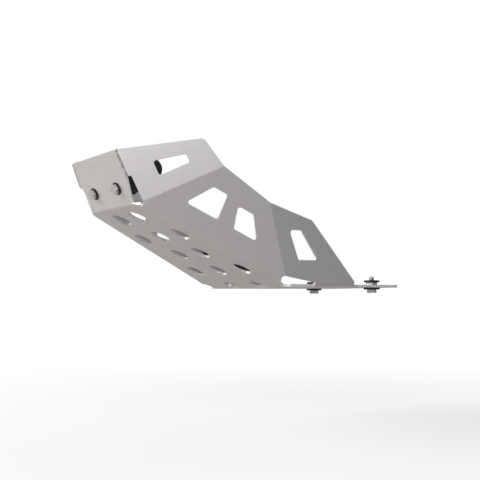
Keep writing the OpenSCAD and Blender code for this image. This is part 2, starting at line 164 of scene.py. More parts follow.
class NodeBook(Nodes):
    """Writes a material's nodes."""

    def __init__(self, name: str) -> None:
        """Starts an empty material of that name.

        Args:
            name: The material's name.
        """
        self.material = bpy.data.materials.new(name)
        self.material.use_nodes = True
        super().__init__(self.material.node_tree)

    def place(self, scale: Sequence[float] = (1.0, 1.0, 1.0),
              turn: Sequence[float] = (0.0, 0.0, 0.0)) -> bpy.types.NodeSocket:
        """Places a pattern on the object with a Mapping node.

        Args:
            scale: The stretch along each axis.
            turn: The turn about each axis, in radians.

        Returns:
            Object coordinates, turned and stretched.
        """
        coordinates = self.add("ShaderNodeTexCoord")
        mapping = self.add("ShaderNodeMapping", None, {"Vector": coordinates.outputs["Object"],
                                                       "Scale": scale, "Rotation": turn})
        return mapping.outputs["Vector"]

    def noise(self, scale: float, detail: float = 2.0, rough: float = 0.5,
              at: Optional[bpy.types.NodeSocket] = None) -> Num:
        """Adds a noise pattern.

        Args:
            scale: About how many features there are per metre.
            detail: How many finer layers it has.
            rough: How strong the finer layers are.
            at: The coordinates, or None for the object's own.

        Returns:
            A number between 0 and 1.
        """
        node = self.add("ShaderNodeTexNoise", None, {
            "Vector": at if at is not None else self.place(), "Scale": scale, "Detail": detail,
            "Roughness": rough})
        return Num(self, node.outputs["Fac"])

    def attribute(self, name: str) -> Num:
        """Returns a number that the mesh holds under that name."""
        return Num(self, self.add("ShaderNodeAttribute", {"attribute_name": name}).outputs["Fac"])

    def mixed(self, mask: Term, first: Any, second: Any) -> bpy.types.NodeSocket:
        """Mixes two colours.

        Args:
            mask: The share of the second colour.
            first: A colour or a colour socket.
            second: A colour or a colour socket.

        Returns:
            The colour between them.
        """
        ends = [end if isinstance(end, bpy.types.NodeSocket) else (*end, 1.0)
                for end in (first, second)]
        node = self.add("ShaderNodeMix", {"data_type": "RGBA"},
                        {MIX_MASK: mask, MIX_FIRST: ends[0], MIX_SECOND: ends[1]})
        return node.outputs[MIX_COLOUR]

    def bump(self, height: Num, strength: float, depth: float) -> bpy.types.NodeSocket:
        """Bends the normal by a height.

        Args:
            height: The height, between 0 and 1.
            strength: The share of the bend that is used.
            depth: The full depth, in metres.

        Returns:
            The normal.
        """
        node = self.add("ShaderNodeBump", None, {"Height": height, "Strength": strength,
                                                 "Distance": depth})
        return node.outputs["Normal"]

    def finish(self, **inputs: Any) -> bpy.types.Material:
        """Ends the material in a Principled shader.

        Args:
            **inputs: Values or links of the shader's sockets, with _ for each space.

        Returns:
            The material.
        """
        shader = self.add("ShaderNodeBsdfPrincipled", None,
                          {key.replace("_", " "): value for key, value in inputs.items()})
        self.add("ShaderNodeOutputMaterial", None, {"Surface": shader.outputs["BSDF"]})
        return self.material


# Finishes


@dataclass(frozen=True)
class SatinSheet:
    """Blasted aluminium sheet with a faint rolling grain, and its laser-cut edges painted nearly
    white as a painted highlight.
    """

    tint: tuple[float, float, float] = (0.80, 0.785, 0.775)
    shade: tuple[float, float, float] = (0.70, 0.685, 0.68)
    cut_highlight_tint: tuple[float, float, float] = (0.96, 0.955, 0.955)
    metal: float = 0.72
    roughness: float = 0.46

    def build(self) -> bpy.types.Material:
        """Builds the finish's material.

        Returns:
            The material.
        """
        book = NodeBook("satin_sheet")
        cut = book.attribute("cut_edge")
        fold = book.attribute("fold")
        cloud = book.noise(9.0, detail=3.0, rough=0.55)
        mottle = book.noise(120.0, detail=3.0, rough=0.6)
        grain = book.noise(900.0, detail=2.0, rough=0.7, at=book.place((1.0, 0.035, 1.0)))
        blast = book.noise(2600.0, detail=2.0, rough=0.6)
        scratch = book.noise(60.0, detail=2.0, at=book.place((1.0, 26.0, 9.0), (0.5, 0.2, 0.3)))
        lines = scratch.above(0.71, 0.03)
        striae = book.noise(1500.0, detail=1.0, at=book.place((1.0, 1.0, 0.05)))
        dark = (cloud - 0.5) * 0.5 + (mottle - 0.5) * 0.35 + (grain - 0.5) * 0.3 + 0.32
        skin = book.mixed(dark, self.tint, self.shade)
        worn = book.mixed(lines * 0.3, skin, (0.9, 0.9, 0.9))
        # Painted highlight: the folds are painted a little lighter, for the light that runs along
        # the bends.
        fold_highlighted = book.mixed(fold * 0.25, worn, (0.84, 0.825, 0.815))
        # Painted highlight: the cut walls are painted nearly white and made less metallic, for the
        # light they catch.
        colour = book.mixed(cut, fold_highlighted, self.cut_highlight_tint)
        roughness = (self.roughness + (mottle - 0.5) * 0.1 + (grain - 0.5) * 0.12
                     - lines * 0.08 - cut * 0.08 - fold * 0.03)
        height = (blast * 0.5 + grain * 0.35 + mottle * 0.25) * (1.0 - cut) + striae * cut * 0.9
        return book.finish(Base_Color=colour, Roughness=roughness,
                           Metallic=self.metal - cut * 0.5,
                           Normal=book.bump(height, 0.35, 0.00009))


@dataclass(frozen=True)
class WeldMetal:
    """Grey, matt weld metal with dark specks between its ripples."""

    tint: tuple[float, float, float] = (0.68, 0.67, 0.665)
    soot: tuple[float, float, float] = (0.13, 0.125, 0.12)

    def build(self) -> bpy.types.Material:
        """Builds the finish's material.

        Returns:
            The material.
        """
        book = NodeBook("weld_metal")
        hollow = 1.0 - book.attribute("ripple")
        specks = book.noise(700.0, detail=3.0, rough=0.65)
        patch = book.noise(400.0, detail=1.0)
        mask = (hollow * 0.45 + (specks - 0.5) * 1.2 + (patch - 0.5) * 2.6).above(0.05, 0.45)
        colour = book.mixed(mask, self.tint, self.soot)
        height = specks * 0.6 + book.noise(2400.0) * 0.4
        return book.finish(Base_Color=colour, Metallic=0.6, Roughness=0.42 + mask * 0.3,
                           Normal=book.bump(height, 0.5, 0.0002))


@dataclass(frozen=True)
class PlatedSteel:
    """Zinc-plated steel, bright on top and dulled in patches."""

    name: str = "plated_steel"
    tint: tuple[float, float, float] = (0.76, 0.76, 0.765)
    dull: tuple[float, float, float] = (0.50, 0.49, 0.48)
    roughness: float = 0.3

    def build(self) -> bpy.types.Material:
        """Builds the finish's material.

        Returns:
            The material.
        """
        book = NodeBook(self.name)
        patch = book.noise(260.0, detail=3.0, rough=0.6)
        fine = book.noise(3200.0, detail=2.0)
        dull = (patch * 0.8 + fine * 0.3).above(0.5, 0.25)
        colour = book.mixed(dull * 0.7, self.tint, self.dull)
        return book.finish(Base_Color=colour, Metallic=0.95,
                           Roughness=self.roughness + dull * 0.14 + (fine - 0.5) * 0.08,
                           Normal=book.bump(fine + patch * 0.5, 0.25, 0.00006))


@dataclass(frozen=True)
class BlackCoat:
    """Black coating on steel, with a fine peel and a little bare metal where it rubs."""

    name: str = "black_steel"
    tint: tuple[float, float, float] = (0.022, 0.022, 0.024)
    dust: tuple[float, float, float] = (0.10, 0.098, 0.095)
    roughness: float = 0.38
    peel: float = 900.0

    def build(self) -> bpy.types.Material:
        """Builds the finish's material.

        Returns:
            The material.
        """
        book = NodeBook(self.name)
        peel = book.noise(self.peel, detail=1.5)
        dusty = book.noise(70.0, detail=4.0, rough=0.6).above(0.5, 0.35)
        rub = book.noise(500.0, detail=3.0, rough=0.7).above(0.66, 0.06)
        colour = book.mixed(rub * 0.35, book.mixed(dusty * 0.35, self.tint, self.dust),
                            (0.32, 0.32, 0.32))
        return book.finish(Base_Color=colour, Metallic=0.1,
                           Roughness=self.roughness + dusty * 0.16 + (peel - 0.5) * 0.08,
                           Normal=book.bump(peel, 0.3, 0.00012))


@dataclass(frozen=True)
class SoftRubber:
    """Matt black rubber with a fine moulded grain."""

    tint: tuple[float, float, float] = (0.018, 0.018, 0.019)

    def build(self) -> bpy.types.Material:
        """Builds the finish's material.

        Returns:
            The material.
        """
        book = NodeBook("soft_rubber")
        grain = book.noise(1800.0, detail=2.0)
        bloom = book.noise(90.0, detail=3.0).above(0.48, 0.4)
        colour = book.mixed(bloom * 0.5, self.tint, (0.06, 0.06, 0.062))
        return book.finish(Base_Color=colour, Roughness=0.72 + (grain - 0.5) * 0.15,
                           Normal=book.bump(grain, 0.35, 0.0001))


@dataclass(frozen=True)
class NutRing:
    """The pale plastic ring of a lock nut."""

    tint: tuple[float, float, float] = (0.62, 0.63, 0.60)

    def build(self) -> bpy.types.Material:
        """Builds the finish's material.

        Returns:
            The material.
        """
        book = NodeBook("nut_ring")
        haze = book.noise(600.0, detail=3.0)
        colour = book.mixed(haze.above(0.4, 0.3) * 0.4, self.tint, (0.45, 0.46, 0.44))
        return book.finish(Base_Color=colour, Roughness=0.42 + haze * 0.15,
                           Normal=book.bump(haze, 0.2, 0.00005))


class Finish(Enum):
    """The finishes that the pieces choose from, by the record's slot."""

    SHEET = ("sheet", SatinSheet())
    WELD = ("weld_metal", WeldMetal())
    ZINC = ("zinc_steel", PlatedSteel())
    BLACK = ("black_steel", BlackCoat())
    BRACKET = ("bracket_paint", BlackCoat(name="bracket_coat", roughness=0.5, peel=1500.0))
    RUBBER = ("bush_rubber", SoftRubber())
    NUT_RING = ("zinc_steel", NutRing())
    # Painted shadow: the zinc front washers are made near black, for the dark crescent of shadow
    # and dark reflection about the bolt heads.
    DARK_ZINC = ("zinc_steel", PlatedSteel("dark_plating", (0.05, 0.05, 0.052),
                                           (0.02, 0.02, 0.02)))

    @property
    def slot(self) -> str:
        """The record's slot name."""
        return self.value[0]

    @property
    def material(self) -> bpy.types.Material:
        """The material, built when it is first asked for.

        Returns:
            The material.
        """
        if self not in _BUILT:
            _BUILT[self] = self.value[1].build()
        return _BUILT[self]


_BUILT: dict[Finish, bpy.types.Material] = {}


# Plane geometry of the folded sheet


def cross2(p: Point, q: Point) -> float:
    """Returns the turn from p to q: positive to the left."""
    return p[0] * q[1] - p[1] * q[0]


def plus(p: Point, q: Point, share: float = 1.0) -> Point:
    """Returns p + share * q."""
    return (p[0] + q[0] * share, p[1] + q[1] * share)


def unit2(p: Point) -> Point:
    """Returns p at length 1."""
    length = math.hypot(*p)
    return (p[0] / length, p[1] / length)


def meeting(a: Point, u: Point, b: Point, v: Point) -> Point:
    """Returns where the line through a along u meets the line through b along v."""
    return plus(a, u, cross2(plus(b, a, -1.0), v) / cross2(u, v))


def inset(outline: Outline, by: Sequence[float]) -> Outline:
    """Moves each edge of an outline inwards by its own distance.

    Args:
        outline: Corners, counter-clockwise.
        by: The distance for the edge that starts at each corner.

    Returns:
        The new corners.
    """
    count = len(outline)
    moved = []
    for i, corner in enumerate(outline):
        before = unit2(plus(corner, outline[i - 1], -1.0))
        after = unit2(plus(outline[(i + 1) % count], corner, -1.0))
        moved.append(meeting(plus(outline[i - 1], (-before[1], before[0]), by[i - 1]), before,
                             plus(corner, (-after[1], after[0]), by[i]), after))
    return moved


def rounded(outline: Outline, radii: Sequence[float], steps: int = 10) -> Outline:
    """Rounds each corner of an outline with its own radius, and leaves a corner of radius 0.

    Args:
        outline: The corners.
        radii: The radius of each corner.
        steps: The number of parts that a round corner is drawn with.

    Returns:
        The new corners.
    """
    result: Outline = []
    count = len(outline)
    for i, corner in enumerate(outline):
        if radii[i] <= 0:
            result.append(corner)
            continue
        u = unit2(plus(outline[i - 1], corner, -1.0))
        v = unit2(plus(outline[(i + 1) % count], corner, -1.0))
        half = math.acos(u[0] * v[0] + u[1] * v[1]) / 2
        centre = plus(corner, unit2(plus(u, v)), radii[i] / math.sin(half))
        side = math.copysign(1.0, cross2(u, v))
        start = math.atan2(-u[0] * side, u[1] * side)
        sweep = -side * (math.pi - 2 * half)
        result += [plus(centre, (math.cos(start + sweep * k / steps),
                                 math.sin(start + sweep * k / steps)), radii[i])
                   for k in range(steps + 1)]
    return result


def circle(centre: Point, radius: float, steps: int = 72) -> Outline:
    """Returns a round outline."""
    return [plus(centre, (math.cos(math.tau * k / steps), math.sin(math.tau * k / steps)), radius)
            for k in range(steps)]


def mirrored(outline: Outline) -> Outline:
    """Returns an outline's mirror image, in the opposite order."""
    return [(-x, y) for x, y in reversed(outline)]


def edge_key(a: Point, b: Point) -> Edge:
    """Returns what an edge is known by, whichever of its ends comes first."""
    return frozenset((round(p[0], 4), round(p[1], 4)) for p in (a, b))


@dataclass(frozen=True)
class Plane:
    """The outer face of a panel: an origin, a direction along it and one up it."""

    origin: Vector
    along: Vector
    up: Vector

    @property
    def facing(self) -> Vector:
        """The direction in which the outer face looks."""
        return self.along.cross(self.up)

    def at(self, point: Point, out: float = 0.0) -> Vector:
        """Returns a point of the panel in space, at a height above its outer face."""
        return self.origin + self.along * point[0] + self.up * point[1] + self.facing * out

    def seen(self, point: Vector) -> Point:
        """Returns a point of space in the panel's own coordinates."""
        away = point - self.origin
        return (away.dot(self.along), away.dot(self.up))

    def matrix(self, point: Point = (0.0, 0.0), out: float = 0.0) -> Matrix:
        """Returns the placement, in metres, of a thing that stands on the outer face."""
        turn = Matrix((self.along, self.up, self.facing)).transposed().to_4x4()
        return Matrix.Translation(self.at(point, out) * MM) @ turn


@dataclass(frozen=True)
class Datum:
    """The sizes that place the panels and the fixings."""

    sheet_t: float = 4.0
    fold_r: float = 4.0
    slope_deg: float = 26.0
    slope_len: float = 248.0
    slope_front_w: float = 163.0
    slope_rear_w: float = 228.0
    front_deg: float = 66.5
    front_len: float = 76.5
    front_top_w: float = 147.0
    notch_h: float = 37.0
    notch_top: float = 5.5
    notch_rise: float = 1.6
    cheek_deg: float = 53.6
    flank_deg: float = 62.0
    wing_deg: float = 75.0
    foot_w: float = 224.0
    front_bolts: float = 74.0
    front_bolt_h: float = 26.0
    rear_bolts: float = 147.0
    rear_bolt_at: float = 182.5
    underside: float = -11.2

    @property
    def up_slope(self) -> Vector:
        """The direction forward and up along the slope."""
        angle = math.radians(self.slope_deg)
        return Vector((0.0, -math.cos(angle), math.sin(angle)))

    @property
    def rear_fold(self) -> Vector:
        """The middle of the fold between slope and rear flat."""
        return Vector((0.0, -self.rear_bolt_at, self.underside))

    @property
    def slope(self) -> Plane:
        """The slope under the engine."""
        return Plane(self.rear_fold, Vector((1, 0, 0)), self.up_slope)

    @property
    def front(self) -> Plane:
        """The front panel."""
        angle = math.radians(self.front_deg)
        return Plane(self.rear_fold + self.up_slope * self.slope_len, Vector((1, 0, 0)),
                     Vector((0.0, -math.cos(angle), math.sin(angle))))

    @property
    def rear(self) -> Plane:
        """The rear flat."""
        return Plane(self.rear_fold, Vector((1, 0, 0)), Vector((0, -1, 0)))

    @property
    def front_corner(self) -> Vector:
        """The corner where slope, front panel, flank and cheek would meet."""
        return self.front.at((self.slope_front_w / 2, 0.0))

    @property
    def rear_corner(self) -> Vector:
        """The rear corner of the slope."""
        return self.slope.at((self.slope_rear_w / 2, 0.0))

    @property
    def seam_top(self) -> Vector:
        """The upper end of the seam between front panel and cheek."""
        return self.front.at((self.front_top_w / 2, self.front_len))

    @property
    def seam_tilt(self) -> float:
        """How far the seam comes inwards for each millimetre up the front panel."""
        return (self.slope_front_w - self.front_top_w) / 2 / self.front_len

    @property
    def seam_foot(self) -> float:
        """The height of the seam's lower end on the front panel."""
        return self.notch_h + self.notch_rise

    @property
    def flank(self) -> Plane:
        """The flank, on the left side.

        Returns:
            The plane of its outer face.
        """
        line = (self.rear_corner - self.front_corner).normalized()
        facing, angle = self.slope.facing, math.radians(self.flank_deg)
        return Plane(self.front_corner, line,
                     facing.cross(line) * math.cos(angle) - facing * math.sin(angle))

    @property
    def cheek(self) -> Plane:
        """The cheek, on the left side.

        Returns:
            The plane of its outer face.
        """
        angle = math.radians(self.cheek_deg)
        line = self.flank.along * math.cos(angle) + self.flank.up * math.sin(angle)
        seam = self.seam_top - self.front_corner
        return Plane(self.front_corner, line, (seam - line * line.dot(seam)).normalized())

    @property
    def wing(self) -> Plane:
        """The wing, on the left side."""
        angle = math.radians(self.wing_deg)
        return Plane(self.rear_fold + Vector((self.foot_w / 2, 0, 0)), Vector((0, 1, 0)),
                     Vector((math.cos(angle), 0.0, math.sin(angle))))

    def take(self, a: Plane, b: Plane) -> float:
        """Returns the width that the fold between two panels takes from each."""
        half = math.acos(max(-1.0, min(1.0, a.facing.dot(b.facing)))) / 2
        return (self.fold_r + self.sheet_t) * math.tan(half)


DATUM = Datum()


# Meshes


class Zone(Enum):
    """What a face of the sheet is, which its finish reads."""

    SKIN = 0
    CUT = 1
    FOLD = 2


class Shape:
    """A mesh in the making, in metres."""

    def __init__(self) -> None:
        """Starts an empty mesh."""
        self.bm = bmesh.new()
        self.zone = self.bm.faces.layers.int.new("zone")

    def vertex(self, place: Vector) -> bmesh.types.BMVert:
        """Adds a vertex."""
        return self.bm.verts.new(place)

    def face(self, corners: Sequence[bmesh.types.BMVert], zone: Zone = Zone.SKIN,
             material: int = 0) -> None:
        """Adds a face with its zone and its material's number.

        Args:
            corners: The face's corners, in order.
            zone: What the face is.
            material: The number of its material.
        """
        made = self.bm.faces.new(corners)
        made[self.zone] = zone.value
        made.material_index = material

    def slab(self, loops: Sequence[Outline], at: Callable[[Point, float], Vector],
             heights: tuple[float, float], joined: Iterable[Edge] = ()) -> None:
        """Adds a flat piece with walls along its free edges.

        Args:
            loops: The outline and the outlines cut out of it.
            at: Gives the place, in metres, of a corner at a height.
            heights: The heights of its two faces.
            joined: The edges that another piece continues, which get no wall.
        """
        layers = [[[self.vertex(at(p, height)) for p in loop] for loop in loops]
                  for height in heights]
        flat = [p for loop in loops for p in loop]
        for layer in layers:
            corners = [v for loop in layer for v in loop]
            for i, j, k in tessellate_polygon([[Vector((*p, 0)) for p in loop] for loop in loops]):
                if abs(cross2(plus(flat[j], flat[i], -1.0), plus(flat[k], flat[i], -1.0))) > 1e-9:
                    self.face([corners[i], corners[j], corners[k]])
        for loop, top, under in zip(loops, *layers):
            for i, point in enumerate(loop):
                j = (i + 1) % len(loop)
                if edge_key(point, loop[j]) not in joined:
                    self.face([top[i], top[j], under[j], under[i]], Zone.CUT)

    def loft(self, rings: Sequence[Sequence[Vector]], place: Matrix = Matrix(),
             ring_material: Callable[[int], int] = lambda _: 0, looped: bool = False) -> None:
        """Joins rings of points with a skin.

        Args:
            rings: The rings, each with the same number of points.
            place: The placement of the whole.
            ring_material: The material's number for the band after each ring.
            looped: Whether the last ring joins the first, as in a washer. Otherwise the ends
                are closed.
        """
        made = [[self.vertex(place @ p) for p in ring] for ring in rings]
        count = len(made[0])
        bands = list(zip(made, made[1:] + (made[:1] if looped else [])))
        for index, (low, high) in enumerate(bands):
            for i in range(count):
                j = (i + 1) % count
                self.face([low[i], low[j], high[j], high[i]], material=ring_material(index))
        if not looped:
            self.face(list(reversed(made[0])), material=ring_material(0))
            self.face(made[-1], material=ring_material(len(made) - 2))

    def mesh(self, name: str, sharp_deg: float = 35.0) -> bpy.types.Mesh:
        """Closes the mesh.

        Args:
            name: The mesh's name.
            sharp_deg: Faces that meet at more than this angle keep a sharp edge.

        Returns:
            The mesh, shaded smooth but for its sharp edges.
        """
        bmesh.ops.recalc_face_normals(self.bm, faces=self.bm.faces)
        for face in self.bm.faces:
            face.smooth = True
        for edge in self.bm.edges:
            edge.smooth = edge.calc_face_angle(0.0) < math.radians(sharp_deg)
        mesh = bpy.data.meshes.new(name)
        self.bm.to_mesh(mesh)
        self.bm.free()
        return mesh


def show(mesh: bpy.types.Mesh, finishes: Sequence[Finish], *nodes: str) -> bpy.types.Object:
    """Puts a finished mesh in the scene, in place of the nodes it stands for.

    Args:
        mesh: The mesh, whose name the piece takes.
        finishes: The finishes, in the order of the mesh's material numbers.
        *nodes: The names of the nodes that the piece replaces.

    Returns:
        The piece.
    """
    piece = bpy.data.objects.new(mesh.name, mesh)
    bpy.context.scene.collection.objects.link(piece)
    mesh.materials.clear()
    for finish in finishes:
        mesh.materials.append(finish.material)
    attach(piece, "root")
    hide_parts(*nodes)
    finishes[0].slot
    LOG.info("%s: %d faces", piece.name, len(mesh.polygons))
    return piece


def evaluated(piece: bpy.types.Object, name: str) -> bpy.types.Mesh:
    """Turns a piece with its modifiers into a plain mesh, and removes the piece.

    Args:
        piece: The object whose modifiers are to be applied.
        name: The new mesh's name.

    Returns:
        The plain mesh.
    """
    graph = bpy.context.evaluated_depsgraph_get()
    mesh = bpy.data.meshes.new_from_object(piece.evaluated_get(graph), depsgraph=graph)
    bpy.data.objects.remove(piece)
    mesh.name = name
    return mesh


# For the bevel: points closer than this in millimetres are one, faces that meet at less than
# the first angle are one, edges above the second angle are broken, and a sloping face with more
# corners than this is split beforehand, because its own triangles would overlap
MERGED = 0.03
FLAT_DEG = 0.3
SHARP_DEG = 40.0
MANY_CORNERS = 40


def bevelled(mesh: bpy.types.Mesh, name: str, width: float, segments: int) -> bpy.types.Mesh:
    """Tidies a mesh and breaks its sharp edges with a bevel.

    Args:
        mesh: The mesh with sharp edges.
        name: The new mesh's name.
        width: The bevel's width in millimetres.
        segments: The number of bands across the bevel.

    Returns:
        The plain mesh.
    """
    bm = bmesh.new()
    bm.from_mesh(mesh)
    bmesh.ops.remove_doubles(bm, verts=bm.verts, dist=MERGED * MM)
    bmesh.ops.dissolve_limit(bm, angle_limit=math.radians(FLAT_DEG), verts=bm.verts,
                             edges=bm.edges, delimit=set())
    bmesh.ops.triangulate(bm, faces=[face for face in bm.faces if len(face.verts) > MANY_CORNERS
                                     and abs(face.normal.x) < 0.1
                                     and abs(face.normal.z) < 0.99])
    bm.to_mesh(mesh)
    bm.free()
    piece = bpy.data.objects.new("softening", mesh)
    bpy.context.scene.collection.objects.link(piece)
    bevel = piece.modifiers.new("edges", "BEVEL")
    bevel.width, bevel.segments, bevel.limit_method = width * MM, segments, "ANGLE"
    bevel.angle_limit, bevel.use_clamp_overlap = math.radians(SHARP_DEG), False
    weighted = piece.modifiers.new("weights", "WEIGHTED_NORMAL")
    weighted.keep_sharp, weighted.weight = True, 50
    return evaluated(piece, name)


def around(radius: float, z: float, steps: int = 48) -> list[Vector]:
    """Returns a ring of points about the Z axis, in metres from millimetres."""
    return [Vector((radius * math.cos(math.tau * k / steps),
                    radius * math.sin(math.tau * k / steps), z)) * MM for k in range(steps)]


@dataclass
class FoldedSheet:
    """The plate itself: nine panels joined by round folds, with its windows and holes."""

    drain_d: float = 30.0
    drain_from: float = 218.0
    drain_pitch: float = 53.1
    drain_across: float = 52.5
    drain_growth: float = 4.2
    notch_front: float = 19.5
    notch_side: float = 6.3
    notch_drop: float = 4.0
    cheek_fold: float = 123.0
    cheek_drop: float = 15.9
    cheek_top: float = 117.0
    wing_fold: float = 124.0
    wing_rear_h: float = 96.0
    wing_rear_at: float = 20.0
    wing_len: float = 114.5
    foot_at: float = 42.0
    relief_h: float = 15.4
    relief_r: float = 14.0
    corner_r: float = 8.0
    rear_len: float = 230.0
    rear_w: float = 176.0
    rear_taper: float = 26.0
    side_relief: float = 2.0
    flank_relief: float = 2.0
    foot_step: float = 2.0
    relief_steps: int = 8
    tail_r: float = 14.0
    bolt_hole_d: float = 9.0
    window_r: float = 3.5
    edge_bevel: float = 0.35
    fold_steps: int = 10
    cheek_window: Outline = field(default_factory=lambda: [
        (39.5, 23.0), (83.5, 23.0), (83.5, 35.0), (39.5, 44.0)])
    wing_window: Outline = field(default_factory=lambda: [
        (6.5, 38.5), (41.0, 38.5), (3.92, 81.0), (-16.58, 81.0)])
    rear_flank_window: Outline = field(default_factory=lambda: [
        (131.0, 31.5), (169.5, 31.5), (144.5, 62.0), (119.0, 62.0)])
    front_flank_window: Outline = field(default_factory=lambda: [
        (53.5, 31.5), (104.5, 31.5), (98.28, 68.0), (75.78, 68.0)])

    def slope_half(self) -> Outline:
        """Draws the left half of the slope.

        Returns:
            The corners: the relief's arc from the rear fold on, and the two at the notch.
        """
        d = DATUM
        half_front, half_rear = d.slope_front_w / 2, d.slope_rear_w / 2
        side_take = d.take(d.slope, d.flank)
        whole = inset([(-half_rear, 0), (half_rear, 0), (half_front, d.slope_len),
                       (-half_front, d.slope_len)],
                      [d.take(d.slope, d.rear), side_take, d.take(d.slope, d.front), side_take])
        edge = unit2(plus(whole[2], whole[1], -1.0))
        turns = [math.pi - math.atan2(edge[1], -edge[0]) * k / self.relief_steps
                 for k in range(self.relief_steps + 1)]
        return [*(plus(whole[1], (math.cos(a), math.sin(a)), self.relief_r) for a in turns),
                plus(whole[2], edge, -self.notch_drop), plus(whole[2], (-STEP_ASIDE, 0.0))]

    def front_half(self) -> Outline:
        """Draws the left half of the front panel.

        Returns:
            The corners, from the fold below to the upper edge.
        """
        d, half = DATUM, DATUM.slope_front_w / 2
        return [(half - self.notch_front, d.take(d.slope, d.front)),
                (half - d.seam_tilt * d.notch_h - d.notch_top, d.notch_h),
                (half - d.seam_tilt * d.seam_foot, d.seam_foot),
                (d.front_top_w / 2, d.front_len)]

    def wing_fold_ends(self) -> tuple[Point, Point]:
        """Finds the fold between flank and wing.

        Returns:
            Its lower and upper ends, in the flank's plane.
        """
        wing, flank = DATUM.wing, DATUM.flank
        slant = wing.facing.dot(flank.along)
        lean = math.copysign(1.0, slant)
        start = (wing.facing.dot(wing.origin - flank.origin) / slant, 0.0)
        run = unit2((-wing.facing.dot(flank.up) * lean, slant * lean))
        return start, plus(start, run, self.wing_fold)

    def flank_outline(self) -> Outline:
        """Draws the flank.

        Returns:
            The corners, from the one at the front of the slope on.
        """
        d, angle = DATUM, math.radians(DATUM.cheek_deg)
        start, end = self.wing_fold_ends()
        run = unit2(plus(end, start, -1.0))
        return inset([(0, 0), (start[0] - self.relief_h, 0),
                      plus(start, run, self.relief_h - self.flank_relief), end,
                      (math.cos(angle) * self.cheek_fold, math.sin(angle) * self.cheek_fold)],
                     [d.take(d.slope, d.flank), 0, d.take(d.wing, d.flank), 0,
                      d.take(d.cheek, d.flank)])

    def cheek_outline(self) -> Outline:
        """Draws the cheek.

        Returns:
            The corners, from the notch's end of the fold on.
        """
        d, drop = DATUM, math.radians(self.cheek_drop)
        top = d.cheek.seen(d.seam_top)
        up = (top[0] / d.front_len, top[1] / d.front_len)
        outline = inset([(self.notch_side, 0), (self.cheek_fold, 0),
                         plus(top, (math.cos(drop), -math.sin(drop)), self.cheek_top), top,
                         (up[0] * d.seam_foot, up[1] * d.seam_foot),
                         (up[0] * d.notch_h + d.notch_top, up[1] * d.notch_h)],
                        [d.take(d.cheek, d.flank), 0, 0, 0, 0, 0])
        return rounded(outline, [0, 0, self.corner_r, 0, 0, 0])

    def wing_outline(self) -> Outline:
        """Draws the wing.

        Returns:
            The corners, from the lower end of the fold to the flank on.
        """
        d, foot_take = DATUM, DATUM.take(DATUM.wing, DATUM.rear)
        low, high = (d.wing.seen(d.flank.at(p)) for p in self.wing_fold_ends())
        share = (self.relief_h - low[1]) / (high[1] - low[1])
        outline = inset([plus(low, plus(high, low, -1.0), share), (self.foot_at, foot_take),
                         (self.wing_len, foot_take), (self.wing_len, foot_take + self.foot_step),
                         (self.wing_rear_at, self.wing_rear_h), high],
                        [0, 0, 0, 0, 0, d.take(d.wing, d.flank)])
        return rounded(outline, [2, 2, 0, 1.2, self.corner_r, 0])

    def rear_outline(self) -> Outline:
        """Draws the rear flat.

        Returns:
            The corners, from the left end of the rear fold on.
        """
        d, half_foot, half_tail = DATUM, DATUM.foot_w / 2, self.rear_w / 2
        foot_take, rear_take = d.take(d.wing, d.rear), d.take(d.slope, d.rear)
        edge = half_foot - self.side_relief
        half = [(self.slope_half()[0][0], -rear_take), (edge - 1, -rear_take - STEP_ASIDE),
                (edge, -rear_take - 4), (edge, STEP_ASIDE - self.foot_at),
                (half_foot - foot_take, -self.foot_at), (half_foot - foot_take, -self.wing_len),
                (half_tail, -self.wing_len - self.rear_taper), (half_tail, -self.rear_len)]
        radii = [0, 0, 0, 0, 0, self.corner_r / 2, self.corner_r, self.tail_r]
        return rounded(half + mirrored(half), radii + radii[::-1])

    def outlines(self) -> dict[str, Outline]:
        """Works out the panels' outlines, already shortened for the folds.

        Returns:
            Each panel's outline in its own plane, by the panel's name.
        """
        slope, front = self.slope_half(), self.front_half()
        return {"slope": slope + mirrored(slope), "front": front + mirrored(front),
                "rear": self.rear_outline(), "flank": self.flank_outline(),
                "cheek": self.cheek_outline(), "wing": self.wing_outline()}

    def holes(self) -> dict[str, list[Outline]]:
        """Works out the windows and holes.

        Returns:
            The outlines to cut out of each panel, by the panel's name.
        """
        radii = [self.window_r] * 4
        slope = [circle((x * (self.drain_across + self.drain_growth * row),
                         self.drain_from - self.drain_pitch * row), self.drain_d / 2)
                 for row in range(4) for x in ((-0.5, 0.5) if row % 2 == 0 else (-1, 0, 1))]
        bolt_r = self.bolt_hole_d / 2
        return {"slope": slope,
                "front": [circle((s * DATUM.front_bolts / 2, DATUM.front_bolt_h), bolt_r, 40)
                          for s in (-1, 1)],
                "rear": [circle((s * DATUM.rear_bolts / 2, -DATUM.rear_bolt_at), bolt_r, 40)
                         for s in (-1, 1)],
                "cheek": [rounded(self.cheek_window, radii)],
                "flank": [rounded(self.front_flank_window, radii),
                          rounded(self.rear_flank_window, radii)],
                "wing": [rounded(self.wing_window, radii)]}

